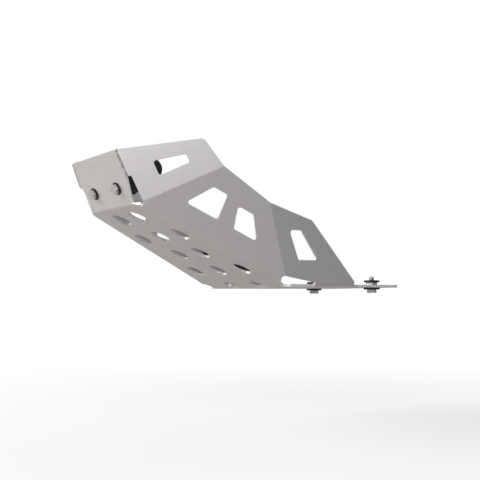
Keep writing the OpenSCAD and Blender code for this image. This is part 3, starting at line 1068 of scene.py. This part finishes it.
    def fold(self, shape: Shape, first: tuple[Plane, Point, Point],
             second: tuple[Plane, Point, Point], flip: bool) -> None:
        """Adds the round fold between an edge of one panel and an edge of another.

        Args:
            shape: The mesh to add to.
            first: A panel's plane and the ends of its folded edge.
            second: The other panel's plane and the ends of its folded edge, in the same order.
            flip: Whether the fold is mirrored to the right side.
        """
        (plane_a, *ends_a), (plane_b, *ends_b) = first, second
        mirror = Vector((-1, 1, 1)) if flip else Vector((1, 1, 1))
        outer = DATUM.fold_r + DATUM.sheet_t
        angle = math.acos(max(-1.0, min(1.0, plane_a.facing.dot(plane_b.facing))))
        axis = plane_a.facing.cross(plane_b.facing).normalized()
        rows: list[list[list[bmesh.types.BMVert]]] = []
        for depth in (0.0, DATUM.sheet_t):
            row = []
            for k in range(self.fold_steps + 1):
                share = k / self.fold_steps
                facing = Matrix.Rotation(angle * share, 3, axis) @ plane_a.facing
                pair = []
                for a, b in zip(ends_a, ends_b):
                    from_a = plane_a.at(a, -outer)
                    from_b = plane_b.at(b, -outer)
                    centre = from_a.lerp(from_b, share)
                    pair.append(shape.vertex((centre + facing * (outer - depth)) * mirror * MM))
                row.append(pair)
            rows.append(row)
        top, under = rows
        for k in range(self.fold_steps):
            for row in rows:
                shape.face([row[k][0], row[k][1], row[k + 1][1], row[k + 1][0]], Zone.FOLD)
            for end in (0, 1):
                shape.face([top[k][end], top[k + 1][end], under[k + 1][end], under[k][end]],
                           Zone.CUT)

    def blank(self) -> Shape:
        """Builds the folded sheet before the cuts that cross its folds.

        Returns:
            The mesh, with its panels joined by their folds.
        """
        d, shape = DATUM, Shape()
        outlines, holes = self.outlines(), self.holes()
        planes: dict[str, Plane] = {name: getattr(d, name) for name in outlines}
        foot_take = d.take(d.wing, d.rear)
        wing_foot = [i for i, p in enumerate(outlines["wing"]) if abs(p[1] - foot_take) < CLOSE]
        rear_foot = [i for i, p in enumerate(outlines["rear"])
                     if abs(p[0] - (d.foot_w / 2 - foot_take)) < CLOSE]
        # Each fold joins an edge of one panel to an edge of another, by their corners' numbers
        middle = [(("front", 7, 0), ("slope", 11, 10)), (("rear", -1, 0), ("slope", -1, 0))]
        side = [(("slope", 9, 8), ("flank", 0, 1)), (("cheek", 0, 1), ("flank", 0, 4)),
                (("wing", 0, -1), ("flank", 2, 3)),
                (("wing", wing_foot[0], wing_foot[-1]), ("rear", rear_foot[0], rear_foot[-1]))]
        joined: dict[str, set[Edge]] = {name: set() for name in outlines}
        for name, start, end in (edge for pair in middle + side for edge in pair):
            corners = [outlines[name][start], outlines[name][end]]
            joined[name] |= {edge_key(*corners), edge_key(*mirrored(corners))}
        for names, folds, flips in ((("slope", "front", "rear"), middle, (False,)),
                                    (("flank", "cheek", "wing"), side, (False, True))):
            for flip in flips:
                mirror = Vector((-1, 1, 1)) if flip else Vector((1, 1, 1))
                for name in names:
                    shape.slab([outlines[name], *holes[name]],
                               lambda p, out, at=planes[name].at: at(p, out) * mirror * MM,
                               (0.0, -d.sheet_t), joined[name])
                for pair in folds:
                    first, second = ((planes[name], outlines[name][start], outlines[name][end])
                                     for name, start, end in pair)
                    self.fold(shape, first, second, flip)
        bmesh.ops.remove_doubles(shape.bm, verts=shape.bm.verts, dist=0.02 * MM)
        return shape

    def cutters(self) -> Shape:
        """Makes the bodies that cut the two drain holes across the rear fold.

        Returns:
            The mesh of both bodies.
        """
        shape = Shape()
        tilt = Matrix.Rotation(math.radians(DATUM.slope_deg / 2), 4, "X")
        base = Matrix.Translation(DATUM.rear_fold * MM) @ tilt
        across = (self.drain_across + self.drain_growth * 5) / 2
        for sign in (-1, 1):
            place = base @ Matrix.Translation(Vector((sign * across, 0, DATUM.sheet_t)) * MM)
            shape.loft([around(self.drain_d / 2, z, 72) for z in (-12.0, 12.0)], place)
        bmesh.ops.recalc_face_normals(shape.bm, faces=shape.bm.faces)
        for face in shape.bm.faces:
            face[shape.zone] = Zone.CUT.value
        return shape

    def build(self) -> bpy.types.Object:
        """Makes the sheet and dresses it.

        Returns:
            The piece.
        """
        plain = [bpy.data.objects.new(name, shape.mesh(name)) for name, shape in
                 (("blank", self.blank()), ("cutters", self.cutters()))]
        for piece in plain:
            bpy.context.scene.collection.objects.link(piece)
        cut = plain[0].modifiers.new("cuts", "BOOLEAN")
        cut.operation, cut.solver, cut.object = "DIFFERENCE", "EXACT", plain[1]
        cut.use_self = True
        mesh = evaluated(plain[0], "cut_sheet")
        bpy.data.objects.remove(plain[1])
        mesh = bevelled(mesh, "folded_sheet", self.edge_bevel, 2)
        zones = [item.value for item in mesh.attributes["zone"].data]
        for name, zone in (("cut_edge", Zone.CUT), ("fold", Zone.FOLD)):
            layer = mesh.attributes.new(name, "FLOAT", "FACE")
            layer.data.foreach_set("value", [float(z == zone.value) for z in zones])
        return show(mesh, [Finish.SHEET], "skid_plate")


# Geometry Nodes and fixings


class GroupBook(Nodes):
    """A Geometry Nodes group in the making, with named inputs."""

    def __init__(self, name: str, given: dict[str, tuple[str, Any]]) -> None:
        """Starts the group with its inputs.

        Args:
            name: The group's name.
            given: The inputs' socket types and values, by name.
        """
        super().__init__(bpy.data.node_groups.new(name, "GeometryNodeTree"))
        self.tree.is_modifier = True
        new_socket = self.tree.interface.new_socket
        self.values = {new_socket(label, in_out="INPUT", socket_type=kind).identifier: value
                       for label, (kind, value) in given.items()}
        new_socket("Geometry", in_out="OUTPUT", socket_type="NodeSocketGeometry")
        self.inputs = self.add("NodeGroupInput")

    def given(self, label: str) -> bpy.types.NodeSocket:
        """Returns the socket of a named input."""
        return self.inputs.outputs[label]


def grown(group: str, name: str, given: dict[str, tuple[str, Any]],
          wire: Callable[[GroupBook], bpy.types.NodeSocket]) -> bpy.types.Mesh:
    """Makes a plain mesh with a Geometry Nodes group.

    Args:
        group: The group's name.
        name: The mesh's name.
        given: The group's inputs, which hold a Material.
        wire: Wires the group's nodes and returns the geometry's socket.

    Returns:
        The mesh.
    """
    graph = GroupBook(group, given)
    real = graph.add("GeometryNodeRealizeInstances", None, {"Geometry": wire(graph)})
    dress = graph.add("GeometryNodeSetMaterial", None, {
        "Geometry": real.outputs[0], "Material": graph.given("Material")})
    graph.add("NodeGroupOutput", None, {"Geometry": dress.outputs[0]})
    holder = bpy.data.objects.new(name, bpy.data.meshes.new(group))
    bpy.context.scene.collection.objects.link(holder)
    modifier = holder.modifiers.new(group, "NODES")
    modifier.node_group = graph.tree
    for identifier, value in graph.values.items():
        modifier[identifier] = value
    mesh = evaluated(holder, name)
    bpy.data.node_groups.remove(graph.tree)
    return mesh


@dataclass
class HexHead:
    """A hexagon with chamfered corners, with a shallow dish on top."""

    across: float = 13.0
    height: float = 5.3
    chamfer: float = 0.55
    dish: float = 0.5
    dish_r: float = 4.6
    bearing: float = 0.97

    def ring(self, z: float, round_r: float, steps: int = 12) -> list[Vector]:
        """Returns a hexagon at a height whose corners are cut back to a radius.

        Args:
            z: The ring's height.
            round_r: The radius that no point of the ring goes beyond.
            steps: The number of points on each side of the hexagon.

        Returns:
            The ring's points, in metres.
        """
        points = []
        for k in range(6 * steps):
            angle = math.tau * k / (6 * steps)
            off = angle % (math.pi / 3) - math.pi / 6
            radius = min(self.across / 2 / math.cos(off), round_r)
            points.append(Vector((radius * math.cos(angle), radius * math.sin(angle), z)) * MM)
        return points

    def rings(self) -> list[list[Vector]]:
        """Makes the head's rings.

        Returns:
            The rings, from the bearing face up to the bottom of the dish.
        """
        corner, flat = self.across / math.sqrt(3), self.across / 2
        round_r = flat * self.bearing
        rings = [self.ring(0.0, round_r), self.ring(0.25, flat), self.ring(0.3, corner)]
        drop = (corner - flat) * self.chamfer
        for share in (1.0, 0.66, 0.33, 0.0):
            rings.append(self.ring(self.height - drop * share,
                                   round_r + (corner - round_r) * share))
        rings.append(self.ring(self.height, self.dish_r + 0.5))
        rings.append(self.ring(self.height - 0.12, self.dish_r + 0.1))
        rings.append(self.ring(self.height - self.dish, self.dish_r - 0.5))
        rings.append(self.ring(self.height - self.dish, 0.4))
        return rings


@dataclass
class Thread:
    """A bolt's thread: one profile carried along a helix."""

    pitch: float = 1.25
    crest_r: float = 3.97
    root_r: float = 3.35
    foot_share: float = 0.98
    crest_share: float = 0.2

    def ridge(self, name: str, length: float) -> bpy.types.Mesh:
        """Makes the ridge of the thread with Geometry Nodes, from z = 0 up to a length.

        Args:
            name: The mesh's name.
            length: The thread's length, in millimetres.

        Returns:
            The ridge's mesh.
        """
        given = {"Turns": ("NodeSocketFloat", length / self.pitch),
                 "Length": ("NodeSocketFloat", length * MM),
                 "Radius": ("NodeSocketFloat", self.root_r * MM),
                 "Material": ("NodeSocketMaterial", Finish.ZINC.material)}
        return grown("thread_ridge", name, given, self.wire)

    def wire(self, graph: GroupBook) -> bpy.types.NodeSocket:
        """Wires the nodes of the ridge.

        Args:
            graph: The node group in the making.

        Returns:
            The geometry to give out.
        """
        helix = graph.add("GeometryNodeCurveSpiral", None, {
            "Resolution": 28, "Rotations": graph.given("Turns"), "Height": graph.given("Length"),
            "Start Radius": graph.given("Radius"), "End Radius": graph.given("Radius")})
        profile = graph.add("GeometryNodeCurvePrimitiveQuadrilateral", {"mode": "TRAPEZOID"}, {
            "Bottom Width": self.pitch * self.foot_share * MM,
            "Top Width": self.pitch * self.crest_share * MM,
            "Height": (self.crest_r - self.root_r) * 2 * MM, "Offset": 0.0})
        sweep = graph.add("GeometryNodeCurveToMesh", None, {
            "Curve": helix.outputs[0], "Profile Curve": profile.outputs[0], "Fill Caps": True})
        return sweep.outputs[0]


def at_front(side: int, out: float = 0.0) -> Matrix:
    """Returns the placement of a front fixing: 1 is the left one and -1 the right one."""
    return DATUM.front.matrix((side * DATUM.front_bolts / 2, DATUM.front_bolt_h), out)


def at_rear(side: int, height: float = 0.0) -> Matrix:
    """Returns the placement of a rear fixing, at a height above the sheet's underside."""
    return Matrix.Translation(Vector((side * DATUM.rear_bolts / 2, 0.0,
                                      DATUM.underside + height)) * MM)


@dataclass
class Bolt:
    """A hexagon bolt: its head rests on z = 0, and its shank runs down to a free thread."""

    name: str
    place: Matrix
    grip: float
    free: float
    grip_r: float = 3.8
    tip_chamfer: float = 0.6
    engaged: float = 1.4
    neck: float = 0.4
    sunk: float = 0.6
    head: HexHead = field(default_factory=HexHead)
    thread: Thread = field(default_factory=Thread)

    def build(self) -> bpy.types.Object:
        """Makes the bolt and dresses it.

        Returns:
            The piece.
        """
        shape = Shape()
        shape.loft(self.head.rings())
        tip, root = -self.grip - self.free, self.thread.root_r
        full = self.engaged - self.grip
        shape.loft([around(root - self.tip_chamfer, tip), around(root, tip + self.tip_chamfer),
                    around(root, full), around(self.grip_r, full + self.neck),
                    around(self.grip_r, self.sunk)])
        margin = self.tip_chamfer + self.thread.pitch * self.thread.foot_share / 2
        length = full - tip - margin
        ridge = self.thread.ridge(f"{self.name}_ridge", length)
        ridge.transform(Matrix.Translation((0.0, 0.0, (tip + margin) * MM)))
        shape.bm.from_mesh(ridge)
        bpy.data.meshes.remove(ridge)
        bmesh.ops.transform(shape.bm, matrix=self.place, verts=shape.bm.verts)
        return show(shape.mesh(self.name, 30.0), [Finish.ZINC], self.name)


@dataclass
class Collar:
    """A washer, spacer, bush or plain nut: a profile turned about the bolt's axis."""

    name: str
    place: Matrix
    outer: float
    height: float
    finish: Finish
    bore: float = 9.0
    edge: float = 0.35
    shoulder: float = 0.0
    bulge: float = 0.0
    shoulder_at: float = 0.7
    bulge_steps: int = 8
    steps: int = 96

    def profile(self) -> Outline:
        """Draws the cross-section.

        Returns:
            The corners, as pairs of radius and height.
        """
        inner, outer, top = self.bore / 2, self.outer / 2, self.height
        if self.shoulder:
            corners = [(inner, 0.0), (outer, 0.0), (outer, top * self.shoulder_at),
                       (outer - self.shoulder, top), (inner, top)]
            return rounded(corners, [self.edge] * 5, 3)
        if self.bulge:
            shares = [k / self.bulge_steps for k in range(self.bulge_steps + 1)]
            side = [(outer - self.bulge * (2 * share - 1) ** 2, top * share) for share in shares]
            return [(inner, 0.0), *side, (inner, top)]
        return rounded([(inner, 0.0), (outer, 0.0), (outer, top), (inner, top)],
                       [self.edge] * 4, 3)

    def build(self) -> bpy.types.Object:
        """Makes the collar and dresses it.

        Returns:
            The piece.
        """
        shape = Shape()
        shape.loft([around(r, z, self.steps) for r, z in self.profile()], self.place,
                   looped=True)
        return show(shape.mesh(self.name, 50.0), [self.finish], self.name)


@dataclass
class LockNut:
    """A hexagon nut with a round collar that holds a plastic ring."""

    name: str
    place: Matrix
    height: float = 8.0
    hexagon: HexHead = field(default_factory=lambda: HexHead(height=6.0))
    bore: float = 7.8
    ring_outer: float = 9.4
    ring_bands: tuple[int, ...] = (9, 10)

    def build(self) -> bpy.types.Object:
        """Makes the nut and dresses it.

        Returns:
            The piece.
        """
        flat, corner = self.hexagon.across / 2, self.hexagon.across / math.sqrt(3)
        low, top, bore = self.hexagon.height, self.height, self.bore / 2
        ring = self.hexagon.ring
        rings = [ring(0.0, flat * 0.97), ring(0.5, corner), ring(low - 0.6, corner),
                 ring(low - 0.3, (corner + flat) / 2), ring(low, flat * 0.94),
                 ring(top - 1.0, flat * 0.93), ring(top - 0.35, flat * 0.86),
                 ring(top, flat * 0.76), ring(top - 0.1, self.ring_outer / 2),
                 ring(top - 0.5, self.ring_outer / 2 - 0.2),
                 ring(top - 0.5, bore + 0.05), ring(top - 2.2, bore), ring(0.6, bore),
                 ring(0.0, bore + 0.5)]
        shape = Shape()
        shape.loft(rings, self.place, lambda band: int(band in self.ring_bands),
                   looped=True)
        return show(shape.mesh(self.name, 30.0), [Finish.ZINC, Finish.NUT_RING], self.name)


@dataclass
class Bracket:
    """The strip behind the front panel, with two lugs for the frame's cross bolt."""

    name: str = "front_bracket"
    thickness: float = 4.0
    width: float = 30.0
    span: float = 112.0
    lug_len: float = 51.0
    lug_rise: float = 8.0
    hole_d: float = 10.5
    hole_end: float = 14.0
    bolt_hole_d: float = 9.0
    behind: float = 14.0
    edge: float = 0.6
    lug_steps: int = 28

    def plate(self, outline: Outline, holes: Sequence[Outline], place: Matrix) -> Shape:
        """Makes a flat piece with holes, between z = 0 and its thickness.

        Args:
            outline: The piece's outline.
            holes: The outlines cut out of it.
            place: The placement of the piece.

        Returns:
            The mesh.
        """
        shape = Shape()
        shape.slab([outline, *holes], lambda p, z: place @ (Vector((*p, z)) * MM),
                   (self.thickness, 0.0))
        return shape

    def lug_outline(self) -> Outline:
        """Draws a lug about its hole.

        Returns:
            The corners, as pairs of depth and height.
        """
        length = self.lug_len + self.thickness - self.hole_end
        half = self.width / 2
        start = math.atan2(self.lug_rise, length) - math.pi / 2
        turns = [start + math.pi * k / self.lug_steps for k in range(self.lug_steps + 1)]
        arc = [(half * math.cos(turn), half * math.sin(turn)) for turn in turns]
        return [(-length, -self.lug_rise - half), *arc, (-length, -self.lug_rise + half)]

    def build(self) -> bpy.types.Object:
        """Makes the bracket and dresses it.

        Returns:
            The piece.
        """
        base = DATUM.front.matrix((0.0, DATUM.front_bolt_h), -self.behind)
        half_w, half_s = self.width / 2, self.span / 2
        strip = self.plate([(-half_s, -half_w), (half_s, -half_w), (half_s, half_w),
                            (-half_s, half_w)],
                           [circle((s * DATUM.front_bolts / 2, 0.0), self.bolt_hole_d / 2, 40)
                            for s in (-1, 1)], base)
        turn = Matrix(((0, 0, 1), (0, 1, 0), (-1, 0, 0))).to_4x4()
        parts = [strip]
        for x in (-half_s, half_s - self.thickness):
            shift = Matrix.Translation(Vector((x, self.lug_rise,
                                               self.hole_end - self.lug_len)) * MM)
            parts.append(self.plate(self.lug_outline(),
                                    [circle((0.0, 0.0), self.hole_d / 2, 48)],
                                    base @ shift @ turn))
        pieces = [bpy.data.objects.new(f"{self.name}_{i}", part.mesh(f"{self.name}_{i}"))
                  for i, part in enumerate(parts)]
        for piece in pieces:
            bpy.context.scene.collection.objects.link(piece)
        for other in pieces[1:]:
            join = pieces[0].modifiers.new("join", "BOOLEAN")
            join.operation, join.solver, join.object = "UNION", "EXACT", other
        mesh = evaluated(pieces[0], "joined")
        for other in pieces[1:]:
            bpy.data.objects.remove(other)
        return show(bevelled(mesh, self.name, self.edge, 3), [Finish.BRACKET], self.name)


@dataclass
class WeldBead:
    """A weld along the seam between front panel and cheek: overlapping drops in a row."""

    name: str
    side: int
    radius: float = 1.75
    sunk: float = 1.05
    step: float = 1.0
    seed: int = 3
    end_gap: float = 1.0
    squash: float = 0.62
    smallest: float = 0.86
    wander: tuple[float, float, float] = (0.00018, 0.00018, 0.0002)

    def drop(self) -> bpy.types.Object:
        """Makes one drop, whose vertices say how near they are to its middle.

        Returns:
            The drop.
        """
        mesh = bpy.data.meshes.new("drop")
        ball = bmesh.new()
        bmesh.ops.create_uvsphere(ball, u_segments=20, v_segments=14, radius=self.radius * MM)
        ripple = ball.verts.layers.float.new("ripple")
        for vert in ball.verts:
            vert[ripple] = 1.0 - min(1.0, abs(vert.co.z) / (self.step * MM))
            vert.co.z *= self.squash
        ball.to_mesh(mesh)
        ball.free()
        source = bpy.data.objects.new("drop", mesh)
        bpy.context.scene.collection.objects.link(source)
        return source

    def build(self) -> bpy.types.Object:
        """Makes the bead with Geometry Nodes and dresses it.

        Returns:
            The piece.
        """
        d, gap, mirror = DATUM, self.end_gap, Vector((self.side, 1, 1))
        inwards = (d.front.facing + d.cheek.facing).normalized() * -self.sunk
        foot = d.seam_foot + gap
        ends = ((d.slope_front_w / 2 - d.seam_tilt * foot, foot),
                (d.front_top_w / 2 + d.seam_tilt * gap, d.front_len - gap))
        low, high = ((d.front.at(end) + inwards) * mirror * MM for end in ends)
        source = self.drop()
        given = {"Start": ("NodeSocketVector", low), "End": ("NodeSocketVector", high),
                 "Drops": ("NodeSocketInt", round((high - low).length / (self.step * MM))),
                 "Drop": ("NodeSocketObject", source), "Seed": ("NodeSocketInt", self.seed),
                 "Material": ("NodeSocketMaterial", Finish.WELD.material)}
        mesh = grown("weld_bead", self.name, given, self.wire)
        bpy.data.objects.remove(source)
        for polygon in mesh.polygons:
            polygon.use_smooth = True
        return show(mesh, [Finish.WELD], self.name)

    def wire(self, graph: GroupBook) -> bpy.types.NodeSocket:
        """Wires the nodes of the bead.

        Args:
            graph: The node group in the making.

        Returns:
            The geometry to give out.
        """
        line = graph.add("GeometryNodeCurvePrimitiveLine", None, {
            "Start": graph.given("Start"), "End": graph.given("End")})
        points = graph.add("GeometryNodeResampleCurve", None, {
            "Curve": line.outputs[0], "Count": graph.given("Drops")})
        along = graph.add("GeometryNodeInputTangent")
        align = graph.add("FunctionNodeAlignRotationToVector", {"axis": "Z"},
                          {"Vector": along.outputs[0]})
        size = graph.add("FunctionNodeRandomValue", {"data_type": "FLOAT"}, {
            2: self.smallest, 3: 1.0, "Seed": graph.given("Seed")})
        info = graph.add("GeometryNodeObjectInfo", None, {"Object": graph.given("Drop")})
        drops = graph.add("GeometryNodeInstanceOnPoints", None, {
            "Points": points.outputs[0], "Instance": info.outputs["Geometry"],
            "Rotation": align.outputs[0], "Scale": size.outputs[1]})
        shift = graph.add("FunctionNodeRandomValue", {"data_type": "FLOAT_VECTOR"}, {
            0: tuple(-way for way in self.wander), 1: self.wander, "Seed": graph.given("Seed")})
        moved = graph.add("GeometryNodeTranslateInstances", None, {
            "Instances": drops.outputs[0], "Translation": shift.outputs[0]})
        return moved.outputs[0]


# The studio


@dataclass(frozen=True)
class Lamp:
    """A soft rectangular lamp that looks at a point."""

    name: str
    place: tuple[float, float, float]
    target: tuple[float, float, float]
    size: float
    power: float
    tint: tuple[float, float, float] = (1.0, 1.0, 1.0)

    def build(self) -> bpy.types.Object:
        """Adds the lamp, with its lengths in metres and its power in watts.

        Returns:
            The lamp.
        """
        light = bpy.data.lights.new(self.name, "AREA")
        light.shape, light.size = "DISK", self.size
        light.energy, light.color = self.power, self.tint
        lamp = bpy.data.objects.new(self.name, light)
        lamp.location = self.place
        aim = Vector(self.target) - Vector(self.place)
        lamp.rotation_euler = aim.to_track_quat("-Z", "Y").to_euler()
        bpy.context.scene.collection.objects.link(lamp)
        return lamp


@dataclass
class Studio:
    """The pale floor, the white surroundings, the lamps and the camera."""

    floor_at: tuple[float, float, float] = (0.0, -0.19, -0.21)
    floor_side: float = 14.0
    floor_tone: float = 0.5
    floor_seen: float = 0.85
    floor_glow: float = 0.72
    fade_from: float = 0.35
    fade_over: float = 0.8
    white: float = 1.0
    around_light: float = 0.16
    azimuth: float = 57.3103
    elevation: float = -3.7627
    roll: float = -0.2507
    distance: float = 1362.309
    aim_right: float = 7.4674
    aim_up: float = -47.7906
    focal_px: float = 900.0
    sensor: float = 36.0
    lamps: tuple[Lamp, ...] = (
        Lamp("key", (-1.5, -2.0, 1.6), (-0.75, -0.9, -0.2), 1.4, 74.0, (1.0, 0.945, 0.91)),
        Lamp("front_right", (2.2, -1.9, 1.1), (1.6, -1.0, -0.1), 1.4, 34.0, (0.97, 0.955, 1.0)),
        Lamp("rear_soft", (-1.2, 2.4, 2.0), (-0.4, 1.2, -0.2), 1.8, 14.0, (0.9, 0.93, 1.0)))

    def floor(self) -> None:
        """Adds the floor.
        """
        bm = bmesh.new()
        bmesh.ops.create_grid(bm, x_segments=1, y_segments=1, size=self.floor_side / 2)
        mesh = bpy.data.meshes.new("floor")
        bm.to_mesh(mesh)
        bm.free()
        book = NodeBook("floor")
        path = book.add("ShaderNodeLightPath").outputs["Is Camera Ray"]
        tone = book.mixed(Num(book, path), (self.floor_tone,) * 3, (self.floor_seen,) * 3)
        shade = book.add("ShaderNodeBsdfDiffuse", None, {"Color": tone})
        glow = book.add("ShaderNodeEmission", None, {"Color": (1.0, 1.0, 1.0, 1.0)})
        spot = book.add("ShaderNodeTexCoord").outputs["Object"]
        away = book.add("ShaderNodeVectorMath", {"operation": "LENGTH"}, {0: spot})
        far = Num(book, away.outputs["Value"]).above(self.fade_from, self.fade_over)
        share = Num(book, path) * (far * (1.0 - self.floor_glow) + self.floor_glow)
        mix = book.add("ShaderNodeMixShader", None, {0: share, 1: shade.outputs[0],
                                                     2: glow.outputs[0]})
        book.add("ShaderNodeOutputMaterial", None, {"Surface": mix.outputs[0]})
        mesh.materials.append(book.material)
        plane = bpy.data.objects.new("floor", mesh)
        plane.location = self.floor_at
        bpy.context.scene.collection.objects.link(plane)

    def surroundings(self) -> None:
        """Makes the background white to the camera, and dimmer as a light.

        Returns:
            None: the scene has its world.
        """
        world = bpy.data.worlds.new("surroundings")
        bpy.context.scene.world = world
        world.use_nodes = True
        nodes = Nodes(world.node_tree)
        path = nodes.add("ShaderNodeLightPath")
        light, seen = (nodes.add("ShaderNodeBackground", None, {
            "Color": (1.0, 1.0, 1.0, 1.0), "Strength": strength})
            for strength in (self.around_light, self.white))
        mix = nodes.add("ShaderNodeMixShader", None, {
            0: path.outputs["Is Camera Ray"], 1: light.outputs[0], 2: seen.outputs[0]})
        nodes.add("ShaderNodeOutputWorld", None, {"Surface": mix.outputs[0]})

    def camera(self) -> None:
        """Adds the camera where the photograph was taken from.

        Returns:
            None: the scene has its camera.
        """
        a, e, r = (math.radians(v) for v in (self.azimuth, self.elevation, self.roll))
        back = Vector((math.sin(a) * math.cos(e), -math.cos(a) * math.cos(e), math.sin(e)))
        right = Vector((math.cos(a), math.sin(a), 0.0))
        up = back.cross(right)
        right, up = (right * math.cos(r) + up * math.sin(r),
                     up * math.cos(r) - right * math.sin(r))
        scale = self.distance / self.focal_px
        place = (back * self.distance - right * self.aim_right * scale
                 - up * self.aim_up * scale + DATUM.rear_fold)
        data = bpy.data.cameras.new("camera")
        data.sensor_width = self.sensor
        data.lens = self.focal_px / IMAGE_SIDE * self.sensor
        camera = bpy.data.objects.new("camera", data)
        axes = Matrix((right, up, back)).transposed().to_4x4()
        camera.matrix_world = Matrix.Translation(place * MM) @ axes
        bpy.context.scene.collection.objects.link(camera)
        bpy.context.scene.camera = camera

    def build(self) -> None:
        """Adds all of it.

        Returns:
            None: the scene is lit and has its camera.
        """
        self.floor()
        self.surroundings()
        for lamp in self.lamps:
            lamp.build()
        self.camera()
        bpy.context.scene.view_settings.view_transform = "Standard"


@dataclass(frozen=True)
class Stack:
    """The heights and widths of the pieces on a front bolt and on a rear bolt."""

    front_washer_d: float = 18.0
    front_washer_t: float = 1.8
    bush_d: float = 20.0
    bush_t: float = 6.0
    bush_at: float = -10.0
    front_nut_at: float = -14.0
    front_grip: float = 22.0
    front_free: float = 2.0
    rear_washer_d: float = 25.0
    rear_washer_t: float = 3.0
    rear_grip: float = 11.2
    rear_free: float = 5.5
    spacer_d: float = 17.0
    spacer_t: float = 4.0
    rear_nut_d: float = 24.0
    rear_nut_t: float = 3.2

    def front(self, side: int, word: str, flipped: Matrix) -> list[Union[Bolt, Collar, LockNut]]:
        """Lists the pieces on a front bolt.

        Args:
            side: 1 for the left bolt and -1 for the right one.
            word: The side's name.
            flipped: The turn for what faces backwards.

        Returns:
            The makers of the pieces, in order.
        """
        washer_t = self.front_washer_t
        return [Bolt(f"front_bolt_{word}", at_front(side, washer_t), washer_t + self.front_grip,
                     self.front_free),
                # The front washer's near black finish is painted shadow about the bolt head.
                Collar(f"front_washer_{word}", at_front(side), self.front_washer_d, washer_t,
                       Finish.DARK_ZINC, edge=0.3),
                Collar(f"front_bush_{word}", at_front(side, self.bush_at), self.bush_d,
                       self.bush_t, Finish.RUBBER, bulge=0.7),
                LockNut(f"front_nut_{word}", at_front(side, self.front_nut_at) @ flipped)]

    def rear(self, side: int, word: str, flipped: Matrix) -> list[Union[Bolt, Collar]]:
        """Lists the pieces on a rear bolt.

        Args:
            side: 1 for the left bolt and -1 for the right one.
            word: The side's name.
            flipped: The turn for what faces down.

        Returns:
            The makers of the pieces, in order.
        """
        low, sheet_t = -self.rear_washer_t, DATUM.sheet_t
        return [Bolt(f"rear_bolt_{word}", at_rear(side, low) @ flipped,
                     self.rear_washer_t + self.rear_grip, self.rear_free),
                Collar(f"rear_washer_{word}", at_rear(side, low), self.rear_washer_d,
                       self.rear_washer_t, Finish.BLACK, edge=0.5),
                Collar(f"rear_spacer_{word}", at_rear(side, sheet_t), self.spacer_d,
                       self.spacer_t, Finish.ZINC),
                Collar(f"rear_nut_{word}", at_rear(side, sheet_t + self.spacer_t),
                       self.rear_nut_d, self.rear_nut_t, Finish.BLACK, bore=7.8, shoulder=1.0)]


Maker = Union[FoldedSheet, WeldBead, Bolt, Collar, LockNut, Bracket]


def fixings() -> list[Maker]:
    """Lists the welds and fixings of the plate.

    Returns:
        Their makers, in order.
    """
    stack, flipped = Stack(), Matrix.Rotation(math.pi, 4, "X")
    pieces: list[Maker] = [WeldBead("weld_left", 1), WeldBead("weld_right", -1)]
    for side, word in ((1, "left"), (-1, "right")):
        pieces += stack.front(side, word, flipped) + stack.rear(side, word, flipped)
    return pieces + [Bracket()]


def main() -> None:
    """Builds the pieces in order, and then the studio.
    """
    logging.basicConfig(level=logging.INFO, format="%(name)s: %(message)s")
    for maker in (FoldedSheet(), *fixings()):
        maker.build()
    Studio().build()


if __name__ == "__main__":
    main()
